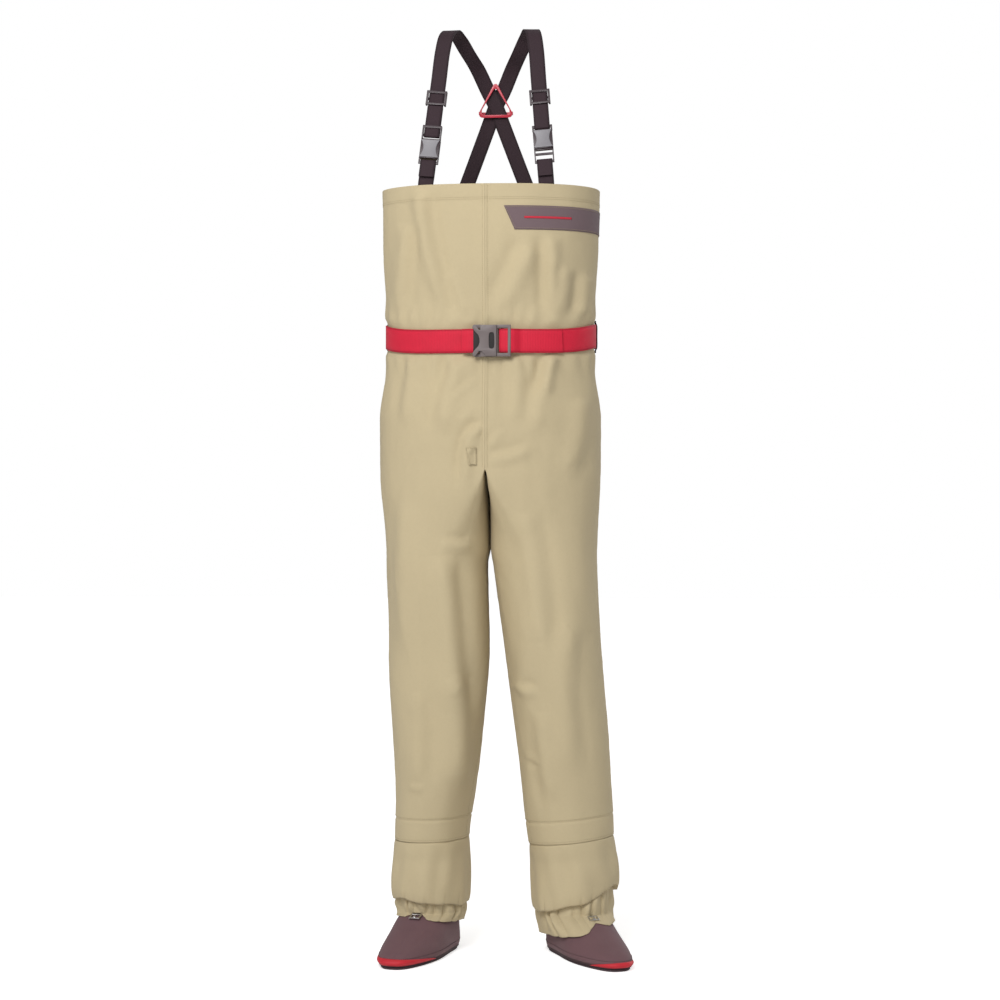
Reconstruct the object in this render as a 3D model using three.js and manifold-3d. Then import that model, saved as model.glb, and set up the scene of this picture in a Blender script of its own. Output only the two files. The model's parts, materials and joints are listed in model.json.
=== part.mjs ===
// Stocking-foot chest waders, standing as if worn: a bib and two legs of laminated fabric, neoprene
// booties, gravel guards with elastic hems and lace hooks, a waist belt with a side-release buckle,
// and webbing suspenders that cross at the back in a ring and clip at the front.
//
// Millimetres, +Z up, origin on the floor under the middle of the bounding box.
// The wearer faces -Y, so the wearer's right is -X.

import * as THREE from "three";
import { mergeVertices } from "three/addons/utils/BufferGeometryUtils.js";
import Module from "manifold-3d";

const wasm = await Module();
wasm.setup();

// ---------- driving dimensions ----------

const gap = 0.4; // clearance between pieces that are sewn or lie on each other
const fabric = 1.6; // laminate with its liner
const hemThickness = 1.2;
const tapeThickness = 0.6;
const tapeWidth = 22;
const neoprene = 4;

// Heights above the floor.
const bibTop = 1239;
const beltHeight = 1004; // middle of the belt at the wearer's sides
const crotchHeight = 787;
const guardSeam = 176; // where the gravel guard is sewn to the leg
const ankleTop = 112; // where the leg is taped to the bootie

// Half widths and half depths of the body.
const chest = { width: 177, depth: 118 };
const waist = { width: 169, depth: 108 };
const seat = { width: 181, depth: 120 };
const crotch = { width: 181, depth: 117 };
const bodyPower = 2.4; // 2 is an ellipse, more is squarer
const waistBand = { above: 24, below: 38 }; // the straight stretch that the belt lies on

// Belt.
const beltWidth = 38;
const beltThickness = 2;
const beltDip = 14; // how much lower the belt hangs at the front
const beltLoopWidth = 14;
const beltLoopAt = 18; // the side loops sit this far behind the wearer's sides
const beltTailEnd = 118; // x where the belt's free end stops

// Suspenders.
const strapWidth = 25;
const strapThickness = 1.6;
const strapSewnLength = 34; // how far the webbing is sewn down inside the bib
const suspender = {
  rise: 267, // bib top to the top of the shoulder bend
  frontSpread: 96.5,
  rearSpread: 59,
  shoulderSpread: 76,
  straightRise: 225, // bib top to the end of the straight front run
  lean: 0.31, // how far the front run leans back for each millimetre of height
  crossingRise: 157,
};
const tabLength = 37; // webbing between the bib's edge and the front buckle
const loopLength = 35; // doubled webbing between the front buckle and its adjuster

// Buckles: the body is the covered part, then the slot and bar for the webbing.
const frontBuckle = {
  webbing: strapWidth, width: strapWidth + 6, thickness: 9, body: 32.5, slot: 4.5, bar: 4.5,
  plug: 24, firstBar: 7, firstBarWidth: 3.5, endBar: 4, prong: 22, latch: 13.4,
};
const beltBuckle = {
  webbing: beltWidth, width: beltWidth + 12, thickness: 12, body: 26, slot: 5.5, bar: 4.5,
  plug: 22, firstBar: 6, firstBarWidth: 4.5, endBar: 4.5, prong: 17, latch: 22.4,
};
const beltMouth = 19; // x of the mouth of the belt's socket

// ---------- materials ----------

const material = (color, roughness, metalness = 0) =>
  new THREE.MeshStandardMaterial({ color, roughness, metalness });
const finish = {
  shell: material("#cdbf9d", 0.8),
  lining: material("#bfb59c", 0.9),
  tape: material("#a9a596", 0.6),
  webbing: material("#57464d", 0.85),
  belt: material("#dc2f49", 0.7),
  buckle: material("#777073", 0.45),
  ring: material("#c8323f", 0.4),
  patch: material("#6e5a62", 0.7),
  neoprene: material("#6c5256", 0.9),
  sole: material("#54434a", 0.9),
  toe: material("#c23340", 0.7),
  elastic: material("#d8d4c8", 0.9),
  hook: material("#8c8c90", 0.3, 0.8),
};

const waders = new THREE.Group();

function add(name, geometry, look) {
  const piece = new THREE.Mesh(geometry, look);
  piece.name = name;
  waders.add(piece);
}

// ---------- geometry helpers ----------

const mix = (a, b, t) => a + (b - a) * t;
const clamp01 = (t) => Math.min(1, Math.max(0, t));
const smooth = (t) => clamp01(t) ** 2 * (3 - 2 * clamp01(t));
const radians = (degrees) => (degrees * Math.PI) / 180;

// Stations in falling order of z: every other value is read off between the two nearest.
function station(stations, z) {
  if (z >= stations[0].z) return stations[0];
  for (let i = 1; i < stations.length; i++) {
    const [high, low] = [stations[i - 1], stations[i]];
    if (z >= low.z) {
      const t = (high.z - z) / (high.z - low.z);
      return Object.fromEntries(Object.keys(high).map((k) => [k, mix(high[k], low[k], t)]));
    }
  }
  return stations.at(-1);
}

// A point of a squarish oval of half width a and half depth b.
function oval(a, b, power, angle) {
  const [c, s] = [Math.cos(angle), Math.sin(angle)];
  return [
    a * Math.sign(c) * Math.abs(c) ** (2 / power),
    b * Math.sign(s) * Math.abs(s) ** (2 / power),
  ];
}

const steps = (from, to, count) =>
  Array.from({ length: count + 1 }, (_, i) => mix(from, to, i / count));

// A closed wall between two grids of points, rows by columns. A wrapped grid joins its last column
// to its first.
function wall(outer, inner, wrapped) {
  const [rows, columns] = [outer.length, outer[0].length];
  const points = [...outer.flat(), ...inner.flat()];
  const index = [];
  const at = (side, r, c) => side * rows * columns + r * columns + (c % columns);
  const quad = (a, b, c, d) => index.push(a, b, c, a, c, d);
  const last = wrapped ? columns : columns - 1;
  for (let c = 0; c < last; c++) {
    for (let r = 0; r < rows - 1; r++) {
      quad(at(0, r, c), at(0, r + 1, c), at(0, r + 1, c + 1), at(0, r, c + 1));
      quad(at(1, r, c), at(1, r, c + 1), at(1, r + 1, c + 1), at(1, r + 1, c));
    }
    quad(at(0, 0, c), at(0, 0, c + 1), at(1, 0, c + 1), at(1, 0, c));
    const r = rows - 1;
    quad(at(0, r, c), at(1, r, c), at(1, r, c + 1), at(0, r, c + 1));
  }
  if (!wrapped)
    for (let r = 0; r < rows - 1; r++) {
      const c = columns - 1;
      quad(at(0, r, 0), at(1, r, 0), at(1, r + 1, 0), at(0, r + 1, 0));
      quad(at(0, r, c), at(0, r + 1, c), at(1, r + 1, c), at(1, r, c));
    }
  return facingOut(new THREE.BufferGeometry().setFromPoints(points), index);
}

// Gives the geometry its faces, turned round if they enclose a negative volume.
function facingOut(geometry, index) {
  const p = geometry.getAttribute("position");
  const corner = (i) => new THREE.Vector3().fromBufferAttribute(p, i);
  let volume = 0;
  for (let i = 0; i < index.length; i += 3)
    volume += corner(index[i]).dot(corner(index[i + 1]).cross(corner(index[i + 2])));
  if (volume < 0)
    for (let i = 0; i < index.length; i += 3)
      [index[i + 1], index[i + 2]] = [index[i + 2], index[i + 1]];
  geometry.setIndex(index);
  return geometry;
}

function solid(geometry) {
  const bare = geometry.clone();
  bare.deleteAttribute("normal");
  bare.deleteAttribute("uv");
  const merged = mergeVertices(bare, 1e-4);
  return new wasm.Manifold(
    new wasm.Mesh({
      numProp: 3,
      vertProperties: merged.attributes.position.array,
      triVerts: new Uint32Array(merged.index.array),
    }),
  );
}

function geometryOf(made) {
  const m = made.getMesh();
  return new THREE.BufferGeometry()
    .setAttribute("position", new THREE.BufferAttribute(m.vertProperties, 3))
    .setIndex(new THREE.BufferAttribute(m.triVerts, 1));
}

const box = (x0, x1, y0, y1, z0, z1) =>
  solid(
    new THREE.BoxGeometry(x1 - x0, y1 - y0, z1 - z0).translate(
      (x0 + x1) / 2, (y0 + y1) / 2, (z0 + z1) / 2,
    ),
  );
const joined = (...parts) => parts.reduce((whole, part) => whole.add(part));
const cutBy = (whole, ...cuts) => cuts.reduce((left, cut) => left.subtract(cut), whole);

// Flat webbing along points. `across` gives the direction of its width at each point.
function ribbon(points, across, width, thickness) {
  const outer = [];
  const inner = [];
  points.forEach((p, i) => {
    const before = points[Math.max(0, i - 1)];
    const after = points[Math.min(points.length - 1, i + 1)];
    const side = across[i].clone().normalize();
    const normal = after.clone().sub(before).normalize().cross(side).normalize();
    const edges = [-width / 2, width / 2].map((w) => p.clone().addScaledVector(side, w));
    outer.push(edges.map((e) => e.clone().addScaledVector(normal, thickness / 2)));
    inner.push(edges.map((e) => e.clone().addScaledVector(normal, -thickness / 2)));
  });
  return wall(outer, inner, false);
}

// ---------- body and leg surfaces ----------

const bodyStations = [
  { z: bibTop, a: chest.width, b: chest.depth },
  { z: mix(beltHeight, bibTop, 0.55), a: chest.width - 2, b: chest.depth - 2 },
  { z: beltHeight + waistBand.above, a: waist.width, b: waist.depth },
  { z: beltHeight - waistBand.below, a: waist.width, b: waist.depth },
  { z: mix(crotchHeight, beltHeight - waistBand.below, 0.45), a: seat.width, b: seat.depth },
  { z: crotchHeight, a: crotch.width, b: crotch.depth },
];

// side is -1 for the wearer's right and 1 for the left. The angle runs from -90 degrees at the
// centre front, through 0 at the side, to 90 at the centre back. `out` moves it off the surface.
function bodyPoint(side, z, degrees, out = 0) {
  const { a, b } = station(bodyStations, z);
  const [x, y] = oval(a + out, b + out, bodyPower, radians(degrees));
  return new THREE.Vector3(side * Math.abs(x), y, z);
}

// The depth of the body's surface at a given distance from its middle plane.
function bodyDepth(z, x) {
  const { a, b } = station(bodyStations, z);
  return b * (1 - (Math.abs(x) / a) ** bodyPower) ** (1 / bodyPower);
}

// The angle at which the body's surface is a given distance from its middle plane.
const angleAt = (z, x) =>
  (Math.acos((Math.abs(x) / station(bodyStations, z).a) ** (bodyPower / 2)) * 180) / Math.PI;

// Each leg: x and y of its middle, half width a, half depth b, and its turn with the foot.
const thighZ = mix(guardSeam, crotchHeight, 0.76);
const kneeZ = mix(guardSeam, crotchHeight, 0.525);
const calfZ = mix(guardSeam, crotchHeight, 0.27);
const shinZ = guardSeam + 36;
const ankle = { a: 42, b: 51, y: 24 };
const footTurn = { [-1]: 13.8, [1]: 25.2 };
const legStations = {
  [-1]: [
    { z: thighZ, x: 88, y: 0, a: 84, b: 100, turn: 0 },
    { z: kneeZ, x: 84.5, y: -2, a: 83, b: 90, turn: 0 },
    { z: calfZ, x: 88, y: 8, a: 72.5, b: 83, turn: 5 },
    { z: shinZ, x: 97, y: 19, a: 59, b: 78, turn: footTurn[-1] },
    { z: guardSeam, x: 99, y: 21, a: 57.5, b: 76, turn: footTurn[-1] },
    { z: guardSeam - 26, x: 100, y: ankle.y, a: 46, b: 58, turn: footTurn[-1] },
    { z: ankleTop, x: 100, y: ankle.y, a: ankle.a, b: ankle.b, turn: footTurn[-1] },
  ],
  [1]: [
    { z: thighZ, x: 88.5, y: 0, a: 86, b: 98, turn: 0 },
    { z: kneeZ, x: 102, y: -2, a: 78.5, b: 93, turn: 4 },
    { z: calfZ, x: 116.5, y: 8, a: 75, b: 81, turn: 12 },
    { z: shinZ, x: 128, y: 19, a: 70, b: 70, turn: footTurn[1] },
    { z: guardSeam, x: 131, y: 21, a: 67, b: 70, turn: footTurn[1] },
    { z: guardSeam - 26, x: 134, y: ankle.y, a: 47, b: 58, turn: footTurn[1] },
    { z: ankleTop, x: 136, y: ankle.y, a: ankle.a, b: ankle.b, turn: footTurn[1] },
  ],
};
const legPower = 2.15;
const innerShare = 0.3; // the share of a leg's round that faces the other leg
const middleGap = 0.9; // half the space between the two legs where they touch

// Places a point given in a leg's own frame: across is towards the wearer's outside, ahead is forwards.
function legFrame(side, where, across, ahead) {
  const turn = radians(where.turn);
  return [
    side * (where.x + across * Math.cos(turn) + ahead * Math.sin(turn)),
    where.y + across * Math.sin(turn) - ahead * Math.cos(turn),
  ];
}

// The angle round a leg at a share u of the way: 0 at the outside, -90 at the front.
const roundAngle = (u) => 360 * u - 180 * (1 - innerShare);

// A point of a leg's round, at a share u of the way round: from the front of the crotch over the
// outside to the back of the crotch, then over the inside. Near the crotch it keeps to the body's
// half oval, closed by a flat inside wall.
function legPoint(side, z, u, out = 0) {
  const where = station(legStations[side], z);
  const outerShare = 1 - innerShare;
  const degrees = roundAngle(u);
  const [across, behind] = oval(where.a + out, where.b + out, legPower, radians(degrees));
  const [x, y] = legFrame(side, where, across, -behind);
  if (z <= thighZ) return new THREE.Vector3(x, y, z);
  const round = smooth((crotchHeight - z) / (crotchHeight - thighZ));
  const top = bodyPoint(side, crotchHeight, -90 + (180 * Math.min(u, outerShare)) / outerShare, out);
  if (u > outerShare) top.y = mix(top.y, -top.y, (u - outerShare) / innerShare);
  top.x = side * Math.max(Math.abs(top.x), middleGap - out);
  const flat = new THREE.Vector3(mix(top.x, x, round), mix(top.y, y, round), z);
  flat.x = side * Math.max(side * flat.x, middleGap - out);
  return flat;
}

// ---------- fabric of the body ----------

const bibColumns = 16;
const bibRows = [
  bibTop, mix(beltHeight, bibTop, 0.8), mix(beltHeight, bibTop, 0.55), beltHeight + waistBand.above + 26,
  beltHeight + waistBand.above, beltHeight - waistBand.below, beltHeight - waistBand.below - 30,
  mix(crotchHeight, beltHeight - waistBand.below, 0.45), crotchHeight + 0.3,
];
const legColumns = 20;
const seamAngle = 0.25; // leaves a hairline between the two halves at the centre seams
const bibAngles = steps(-90 + seamAngle, 90 - seamAngle, bibColumns);
const sides = [
  { name: "right", side: -1 },
  { name: "left", side: 1 },
];

for (const { name, side } of sides) {
  const grid = (out) => bibRows.map((z) => bibAngles.map((d) => bodyPoint(side, z, d, out)));
  add(`bib_${name}`, wall(grid(0), grid(-fabric), false), finish.shell);

  const legRows = [
    crotchHeight, mix(thighZ, crotchHeight, 0.66), mix(thighZ, crotchHeight, 0.33), thighZ, kneeZ,
    calfZ, shinZ, guardSeam, guardSeam - 26, ankleTop + 0.3,
  ];
  const shares = steps(0, 1, legColumns).slice(0, -1);
  const round = (out) => legRows.map((z) => shares.map((u) => legPoint(side, z, u, out)));
  add(`leg_${name}`, wall(round(0), round(-fabric), true), finish.shell);

  // The inseam is taped inside the leg, on the side that faces the other leg.
  const inseam = (out) =>
    legRows.slice(1, -2).map((z) => {
      const half = tapeWidth / 2 / 500;
      const middle = 1 - innerShare / 2;
      return [middle - half, middle, middle + half].map((u) => legPoint(side, z, u, out));
    });
  const inseamAt = -fabric - 3;
  add(
    `inseam_tape_${name}`,
    wall(inseam(inseamAt), inseam(inseamAt - tapeThickness), false),
    finish.tape,
  );
}

// A facing sewn inside the bib's top edge holds the ends of the webbing.
const hemHeight = 26;
const hemOut = -fabric - gap;
{
  const grid = (out) =>
    [bibTop, bibTop - hemHeight].map((z) => [
      ...bibAngles.map((d) => bodyPoint(-1, z, d, out)),
      ...bibAngles.toReversed().map((d) => bodyPoint(1, z, d, out)),
    ]);
  add("bib_hem", wall(grid(hemOut), grid(hemOut - hemThickness), true), finish.lining);
}

// The centre seams are taped on the inside, from below the hem to above the crotch.
for (const [name, end] of [["front_seam_tape", -1], ["back_seam_tape", 1]]) {
  const top = bibTop - hemHeight - gap;
  const rows = [top, ...bibRows.filter((z) => z < top && z > crotchHeight + 1), crotchHeight + 8];
  const grid = (out) =>
    rows.map((z) =>
      steps(-tapeWidth / 2, tapeWidth / 2, 2).map(
        (x) => new THREE.Vector3(x, end * (bodyDepth(z, tapeWidth / 2) + out), z),
      ),
    );
  add(name, wall(grid(-fabric - 3 * gap), grid(-fabric - 3 * gap - tapeThickness), false), finish.tape);
}

// A plain woven patch lies across the left of the chest.
const patch = { top: bibTop - 35, bottom: bibTop - 73, from: 30, slant: 17 };
{
  const starts = [patch.top, patch.bottom].map((z, row) => -angleAt(z, patch.from + row * patch.slant));
  const shared = bibAngles.filter((d) => d > Math.max(...starts) + 1 && d < 8);
  const grid = (out) =>
    [patch.top, patch.bottom].map((z, row) =>
      [starts[row], ...shared].map((d) => bodyPoint(1, z, d, out)),
    );
  add("chest_patch", wall(grid(gap + 1.4), grid(gap + 0.6), false), finish.patch);
}

// ---------- belt ----------

const beltOut = gap + beltThickness;

// The belt follows the waist and hangs lower towards the front.
function beltPoint(side, degrees, out) {
  const p = bodyPoint(side, beltHeight, degrees, out);
  return p.setZ(beltHeight - beltDip * smooth(-p.y / waist.depth));
}

// Angles from one to another round one side of the waist, through the columns of the fabric.
const between = (from, to) => [from, ...bibAngles.filter((d) => d > from + 2 && d < to - 2), to];
const beltMiddle = (side, angles, layer = 0) =>
  angles.map((d) => beltPoint(side, d, gap + beltThickness / 2 + layer * (beltThickness + gap)));
const beltAngle = (x) => -angleAt(beltHeight, x);

// The belt buckle's frame: x along the belt, z away from the body, origin at the socket's mouth.
const beltFace = waist.depth + gap + beltBuckle.thickness / 2 + 0.3;
const beltPlace = (x, z) => new THREE.Vector3(beltMouth + x, -beltFace - z, beltHeight - beltDip);
const beltRibbon = (points) =>
  ribbon(points, points.map(() => new THREE.Vector3(0, 0, 1)), beltWidth, beltThickness);
const leftLoopAngle = 12;
const plugRun = 50; // how far the webbing folded through the plug reaches along the belt

// Webbing folded round a bar that is 2 * half thick: both runs leave towards `reach`, and the
// bar's other side is at `bend`.
function foldRoundBar(bend, reach, half, thickness) {
  const middle = half + gap + thickness / 2;
  const way = Math.sign(reach - bend);
  const turn = steps(90, 270, 6).map((d) => [
    bend + way * middle * (0.2 + Math.cos(radians(d)) * 0.9), middle * Math.sin(radians(d)),
  ]);
  return [[reach, middle], ...turn, [reach, -middle]];
}

{
  const socketBend = -beltBuckle.body - beltBuckle.slot;
  const fold = foldRoundBar(socketBend, socketBend - 12, 1.5, beltThickness);
  const round = [
    ...beltMiddle(-1, between(beltAngle(beltMouth + socketBend - 20), 90 - seamAngle)),
    ...beltMiddle(1, between(leftLoopAngle, 90 - seamAngle)).reverse(),
  ];
  const sewn = beltPlace(socketBend - 24, -1.4);
  add(
    "belt_webbing",
    beltRibbon([sewn, ...fold.map(([x, z]) => beltPlace(x, z)), ...round]),
    finish.belt,
  );
  const meeting = beltAngle(beltMouth + plugRun);
  add(
    "belt_adjusting_end",
    beltRibbon(beltMiddle(1, between(meeting + 0.3, leftLoopAngle - 0.4))),
    finish.belt,
  );
  const plugFold = foldRoundBar(beltBuckle.firstBar, beltBuckle.plug + 3, 1.3, beltThickness);
  const tailFrom = beltAngle(beltMouth + plugRun - 14);
  const tail = beltMiddle(1, between(tailFrom, beltAngle(beltTailEnd)), 1.2).reverse();
  add(
    "belt_tail",
    beltRibbon([
      ...tail,
      ...plugFold.map(([x, z]) => beltPlace(x, z)),
      beltPoint(1, meeting, gap + beltThickness / 2),
    ]),
    finish.belt,
  );
}

// Loops of webbing hold the belt at both sides and at the back.
const loopHeight = beltWidth + 14;
function beltLoop(middle, normal) {
  const side = new THREE.Vector3(-normal.y, normal.x, 0);
  const up = new THREE.Vector3(0, 0, 1);
  const stand = beltOut + 2 * gap;
  const profile = [
    [loopHeight / 2, gap], [beltWidth / 2 + 2.5, gap], [beltWidth / 2 + 0.8, stand],
    [-beltWidth / 2 - 0.8, stand], [-beltWidth / 2 - 2.5, gap], [-loopHeight / 2, gap],
  ];
  const grid = (extra) =>
    profile.map(([rise, out]) =>
      [-beltLoopWidth / 2, beltLoopWidth / 2].map((w) =>
        middle.clone().addScaledVector(up, rise)
          .addScaledVector(normal, out + extra)
          .addScaledVector(side, w),
      ),
    );
  return wall(grid(1.2), grid(0), false);
}
const loopDegrees = (Math.asin((beltLoopAt / waist.depth) ** (bodyPower / 2)) * 180) / Math.PI;
for (const { name, side } of sides) {
  const at = bodyPoint(side, beltHeight, loopDegrees);
  const reach = waist.width - Math.abs(at.x) + 0.6;
  const middle = at.addScaledVector(new THREE.Vector3(side, 0, 0), reach);
  add(`belt_loop_${name}`, beltLoop(middle, new THREE.Vector3(side, 0, 0)), finish.webbing);
}
add(
  "belt_loop_back",
  beltLoop(new THREE.Vector3(0, waist.depth, beltHeight), new THREE.Vector3(0, 1, 0)),
  finish.webbing,
);

// ---------- side-release buckles ----------

// A buckle's own frame: x from the socket's webbing bar towards the plug's, y across the webbing,
// z outwards. The mouth of the socket is at x = 0.
const skin = 1.7;
const sideBand = 1.6;

function buckleSocket(k) {
  const half = k.width / 2;
  const inside = half - sideBand;
  const depth = k.thickness / 2 - skin;
  const end = -k.body - k.slot - k.bar;
  const barThickness = 1.5;
  const body = cutBy(
    box(-k.body, 0, -half, half, -k.thickness / 2, k.thickness / 2),
    box(-k.body + 3, 1, -inside, inside, -depth, depth),
    box(-k.prong - 2, -7, half - 4, half + 1, -depth, depth),
    box(-k.prong - 2, -7, -half - 1, -half + 4, -depth, depth),
  );
  const frame = cutBy(
    box(end, -k.body + 1, -half - 0.6, half + 0.6, -barThickness, barThickness),
    box(end + k.bar, -k.body, -k.webbing / 2 - 1, k.webbing / 2 + 1, -5, 5),
  );
  return joined(body, frame);
}

// The end bar stands forward when the webbing runs behind it to the first bar.
function bucklePlug(k, endBarForward) {
  const half = k.width / 2;
  const depth = k.thickness / 2 - skin - 0.6;
  const rail = half - k.webbing / 2 - 1;
  const lift = 1.3 + gap + k.strap + gap;
  const bar = 1.3;
  const front = endBarForward ? lift + 1.4 : bar;
  const rails = [-1, 1].map((s) => {
    const [inner, outer] = [half - rail, half].map((y) => s * y);
    return box(
      0.4, k.plug, Math.min(inner, outer), Math.max(inner, outer), -bar, front,
    );
  });
  return joined(
    box(0.4, 2, -half, half, -bar - 1, bar + 1),
    box(-2.4, 1, -half + sideBand + 0.6, half - sideBand - 0.6, -depth, depth),
    box(-k.prong + 3, 0, -1.8, 1.8, -1.4, 1.4),
    ...rails,
    box(k.firstBar, k.firstBar + k.firstBarWidth, -half + 1, half - 1, -bar, bar),
    endBarForward
      ? box(k.plug - k.endBar, k.plug, -half, half, lift, lift + 1.4)
      : box(k.plug - k.endBar, k.plug, -half, half, -bar, bar),
  );
}

// One of the two springy arms that latch in the socket's side windows; s is which side of the plug.
const prongRoot = -2.8;
function buckleProng(k, s) {
  const depth = k.thickness / 2 - skin - 0.6;
  const armOut = k.latch - 3;
  const armIn = armOut - 2.2;
  const y = (a, b) => [Math.min(s * a, s * b), Math.max(s * a, s * b)];
  return joined(
    box(-k.prong, prongRoot, ...y(armIn, armOut), -depth, depth),
    box(-k.prong, -9, ...y(armOut - 0.2, k.latch), -depth, depth),
  );
}

frontBuckle.strap = strapThickness;
beltBuckle.strap = beltThickness;

// ---------- front webbing, buckles and adjusters ----------

const up = new THREE.Vector3(0, 0, 1);
const strapInset = -hemOut + hemThickness + gap + strapThickness / 2;

// How the body's depth changes for each millimetre outwards from its middle plane.
const slopeAt = (z, x) => (bodyDepth(z, Math.abs(x) + 10) - bodyDepth(z, Math.abs(x) - 10)) / 20;
const tabInset = 2.4;

// The straight front run of each suspender: where it leaves the bib, and its own frame.
function frontRun(side) {
  const start = new THREE.Vector3(
    side * suspender.frontSpread,
    -bodyDepth(bibTop, suspender.frontSpread) + strapInset,
    bibTop,
  );
  const end = new THREE.Vector3(
    side * suspender.shoulderSpread,
    start.y + suspender.lean * suspender.straightRise,
    bibTop + suspender.straightRise,
  );
  const along = end.clone().sub(start).normalize();
  const across = new THREE.Vector3(1, 0, 0).projectOnPlane(along).normalize();
  return { start, end, along, across, out: across.clone().cross(along) };
}

// Moves a geometry from a buckle's frame to a place on the front run. way 1 points its x up the run.
function placedOnRun(run, distance, way, geometry) {
  const x = run.along.clone().multiplyScalar(way);
  const y = run.across.clone().multiplyScalar(-way);
  const at = run.start.clone().addScaledVector(run.along, distance);
  return geometry.applyMatrix4(new THREE.Matrix4().makeBasis(x, y, run.out).setPosition(at));
}

const foldedWebbing = (profile, width, thickness) =>
  ribbon(
    profile.map(([x, z]) => new THREE.Vector3(x, 0, z)),
    profile.map(() => new THREE.Vector3(0, 1, 0)),
    width,
    thickness,
  );

// A three-bar slider: the webbing runs behind its two outer bars and in front of its middle bar.
const adjuster = { length: 25, width: strapWidth + 8, bar: 4.2 };
function slider() {
  const half = adjuster.width / 2;
  const inside = strapWidth / 2 + 1;
  const near = strapThickness / 2 + gap;
  const far = near + 2;
  const end = adjuster.length;
  return joined(
    box(0, end, -half, -inside, -far, far),
    box(0, end, inside, half, -far, far),
    box(0, adjuster.bar, -half, half, near, far),
    box(end - adjuster.bar, end, -half, half, near, far),
    box((end - adjuster.bar) / 2, (end + adjuster.bar) / 2, -half, half, -far, -near),
  );
}

const socketLength = frontBuckle.body + frontBuckle.slot + frontBuckle.bar;
const buckleLength = socketLength + frontBuckle.plug;
const loopEnd = tabLength + buckleLength + loopLength;
const mainStrapStart = loopEnd - 6;

for (const { name, side } of sides) {
  const run = frontRun(side);
  // The two sides are clipped opposite ways round, so that each half also fits the other side.
  const plugOnTop = side < 0;
  const mouth = tabLength + (plugOnTop ? socketLength : frontBuckle.plug);
  const way = plugOnTop ? 1 : -1;
  const put = (geometry) => placedOnRun(run, mouth, way, geometry);
  add(`front_socket_${name}`, put(geometryOf(buckleSocket(frontBuckle))), finish.buckle);
  add(`front_plug_${name}`, put(geometryOf(bucklePlug(frontBuckle, plugOnTop))), finish.buckle);
  add(`front_prong_${name}_inner`, put(geometryOf(buckleProng(frontBuckle, -side * way))), finish.buckle);
  add(`front_prong_${name}_outer`, put(geometryOf(buckleProng(frontBuckle, side * way))), finish.buckle);

  // Distances along the run at which the webbing folds round each half's bar.
  const socketBend = -frontBuckle.body - frontBuckle.slot;
  const upperBend = plugOnTop ? mouth + frontBuckle.firstBar : mouth - socketBend;
  const upperBar = plugOnTop ? 1.3 : 1.5;
  const lowerBend = plugOnTop ? mouth + socketBend : mouth - frontBuckle.plug + frontBuckle.endBar;
  const lowerBar = plugOnTop ? 1.5 : 1.3;
  const loop = foldRoundBar(upperBend, loopEnd, upperBar, strapThickness);
  add(
    `strap_loop_${name}`,
    placedOnRun(run, 0, 1, foldedWebbing(loop, strapWidth, strapThickness)),
    finish.webbing,
  );
  // The tab folds round the lower bar, then goes down inside the hem, turning to lie on it.
  const tab = foldRoundBar(lowerBend, 14, lowerBar, strapThickness);
  const onRun = ([x, z]) =>
    run.start.clone().addScaledVector(run.along, x).addScaledVector(run.out, z);
  const slope = slopeAt(bibTop, suspender.frontSpread);
  const flat = new THREE.Vector3(1, -side * slope, 0);
  const below = steps(-4, -strapSewnLength, 3).map((dz) => {
    const y = -bodyDepth(bibTop + dz, suspender.frontSpread) + strapInset + tabInset;
    return new THREE.Vector3(side * suspender.frontSpread, y, bibTop + dz);
  });
  const tabPoints = [...tab.map(onRun), onRun([3, -2]), ...below];
  const tabAcross = tabPoints.map((_, i) => {
    const turned = clamp01((i - tab.length + 0.5) / 2);
    return run.across.clone().lerp(flat, turned);
  });
  add(
    `strap_tab_${name}`,
    ribbon(tabPoints, tabAcross, strapWidth, strapThickness),
    finish.webbing,
  );

  add(
    `adjuster_${name}`,
    placedOnRun(run, loopEnd + 2.5, 1, geometryOf(slider())),
    finish.buckle,
  );
}

// ---------- suspenders ----------

const hinge = { y: bodyDepth(bibTop, suspender.rearSpread) - strapInset, z: bibTop };
const crossingZ = bibTop + suspender.crossingRise;
const rearLean = 0.06;
const rearY = (z) => hinge.y - rearLean * (z - hinge.z);

function suspenderCurve(side) {
  const run = frontRun(side);
  const top = bibTop + suspender.rise;
  const layer = side * 1.3; // the right strap crosses in front of the left one
  const at = (x, y, z) => new THREE.Vector3(side * x, y, z);
  const start = run.start.clone().addScaledVector(run.along, mainStrapStart);
  return [
    start,
    start.clone().lerp(run.end, 0.5),
    run.end,
    at(suspender.shoulderSpread - 5, run.end.y + 15, top - 13),
    at(suspender.shoulderSpread - 12, run.end.y + 44, top),
    at(suspender.shoulderSpread - 21, run.end.y + 73, top - 9),
    at(44, rearY(top) - 34, top - 27),
    at(29, rearY(top) - 8, top - 51),
    at(13, rearY(crossingZ + 25) - 0.5 + layer, crossingZ + 25),
    at(0, rearY(crossingZ) + layer, crossingZ),
    at(-12, rearY(crossingZ - 32) + layer, crossingZ - 32),
    at(-suspender.rearSpread * 0.62, rearY(bibTop + 60) + layer * 0.5, bibTop + 60),
    at(-suspender.rearSpread, rearY(bibTop + 1.5), bibTop + 1.5),
  ];
}

// Across a strap that lies on a shoulder: square to its run and to the direction that it faces.
function acrossStrap(points) {
  return points.map((_, i) => {
    const before = points[Math.max(0, i - 1)];
    const after = points[Math.min(points.length - 1, i + 1)];
    const t = after.clone().sub(before).normalize();
    return t.clone().cross(new THREE.Vector3(0, -t.z, t.y));
  });
}

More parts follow.
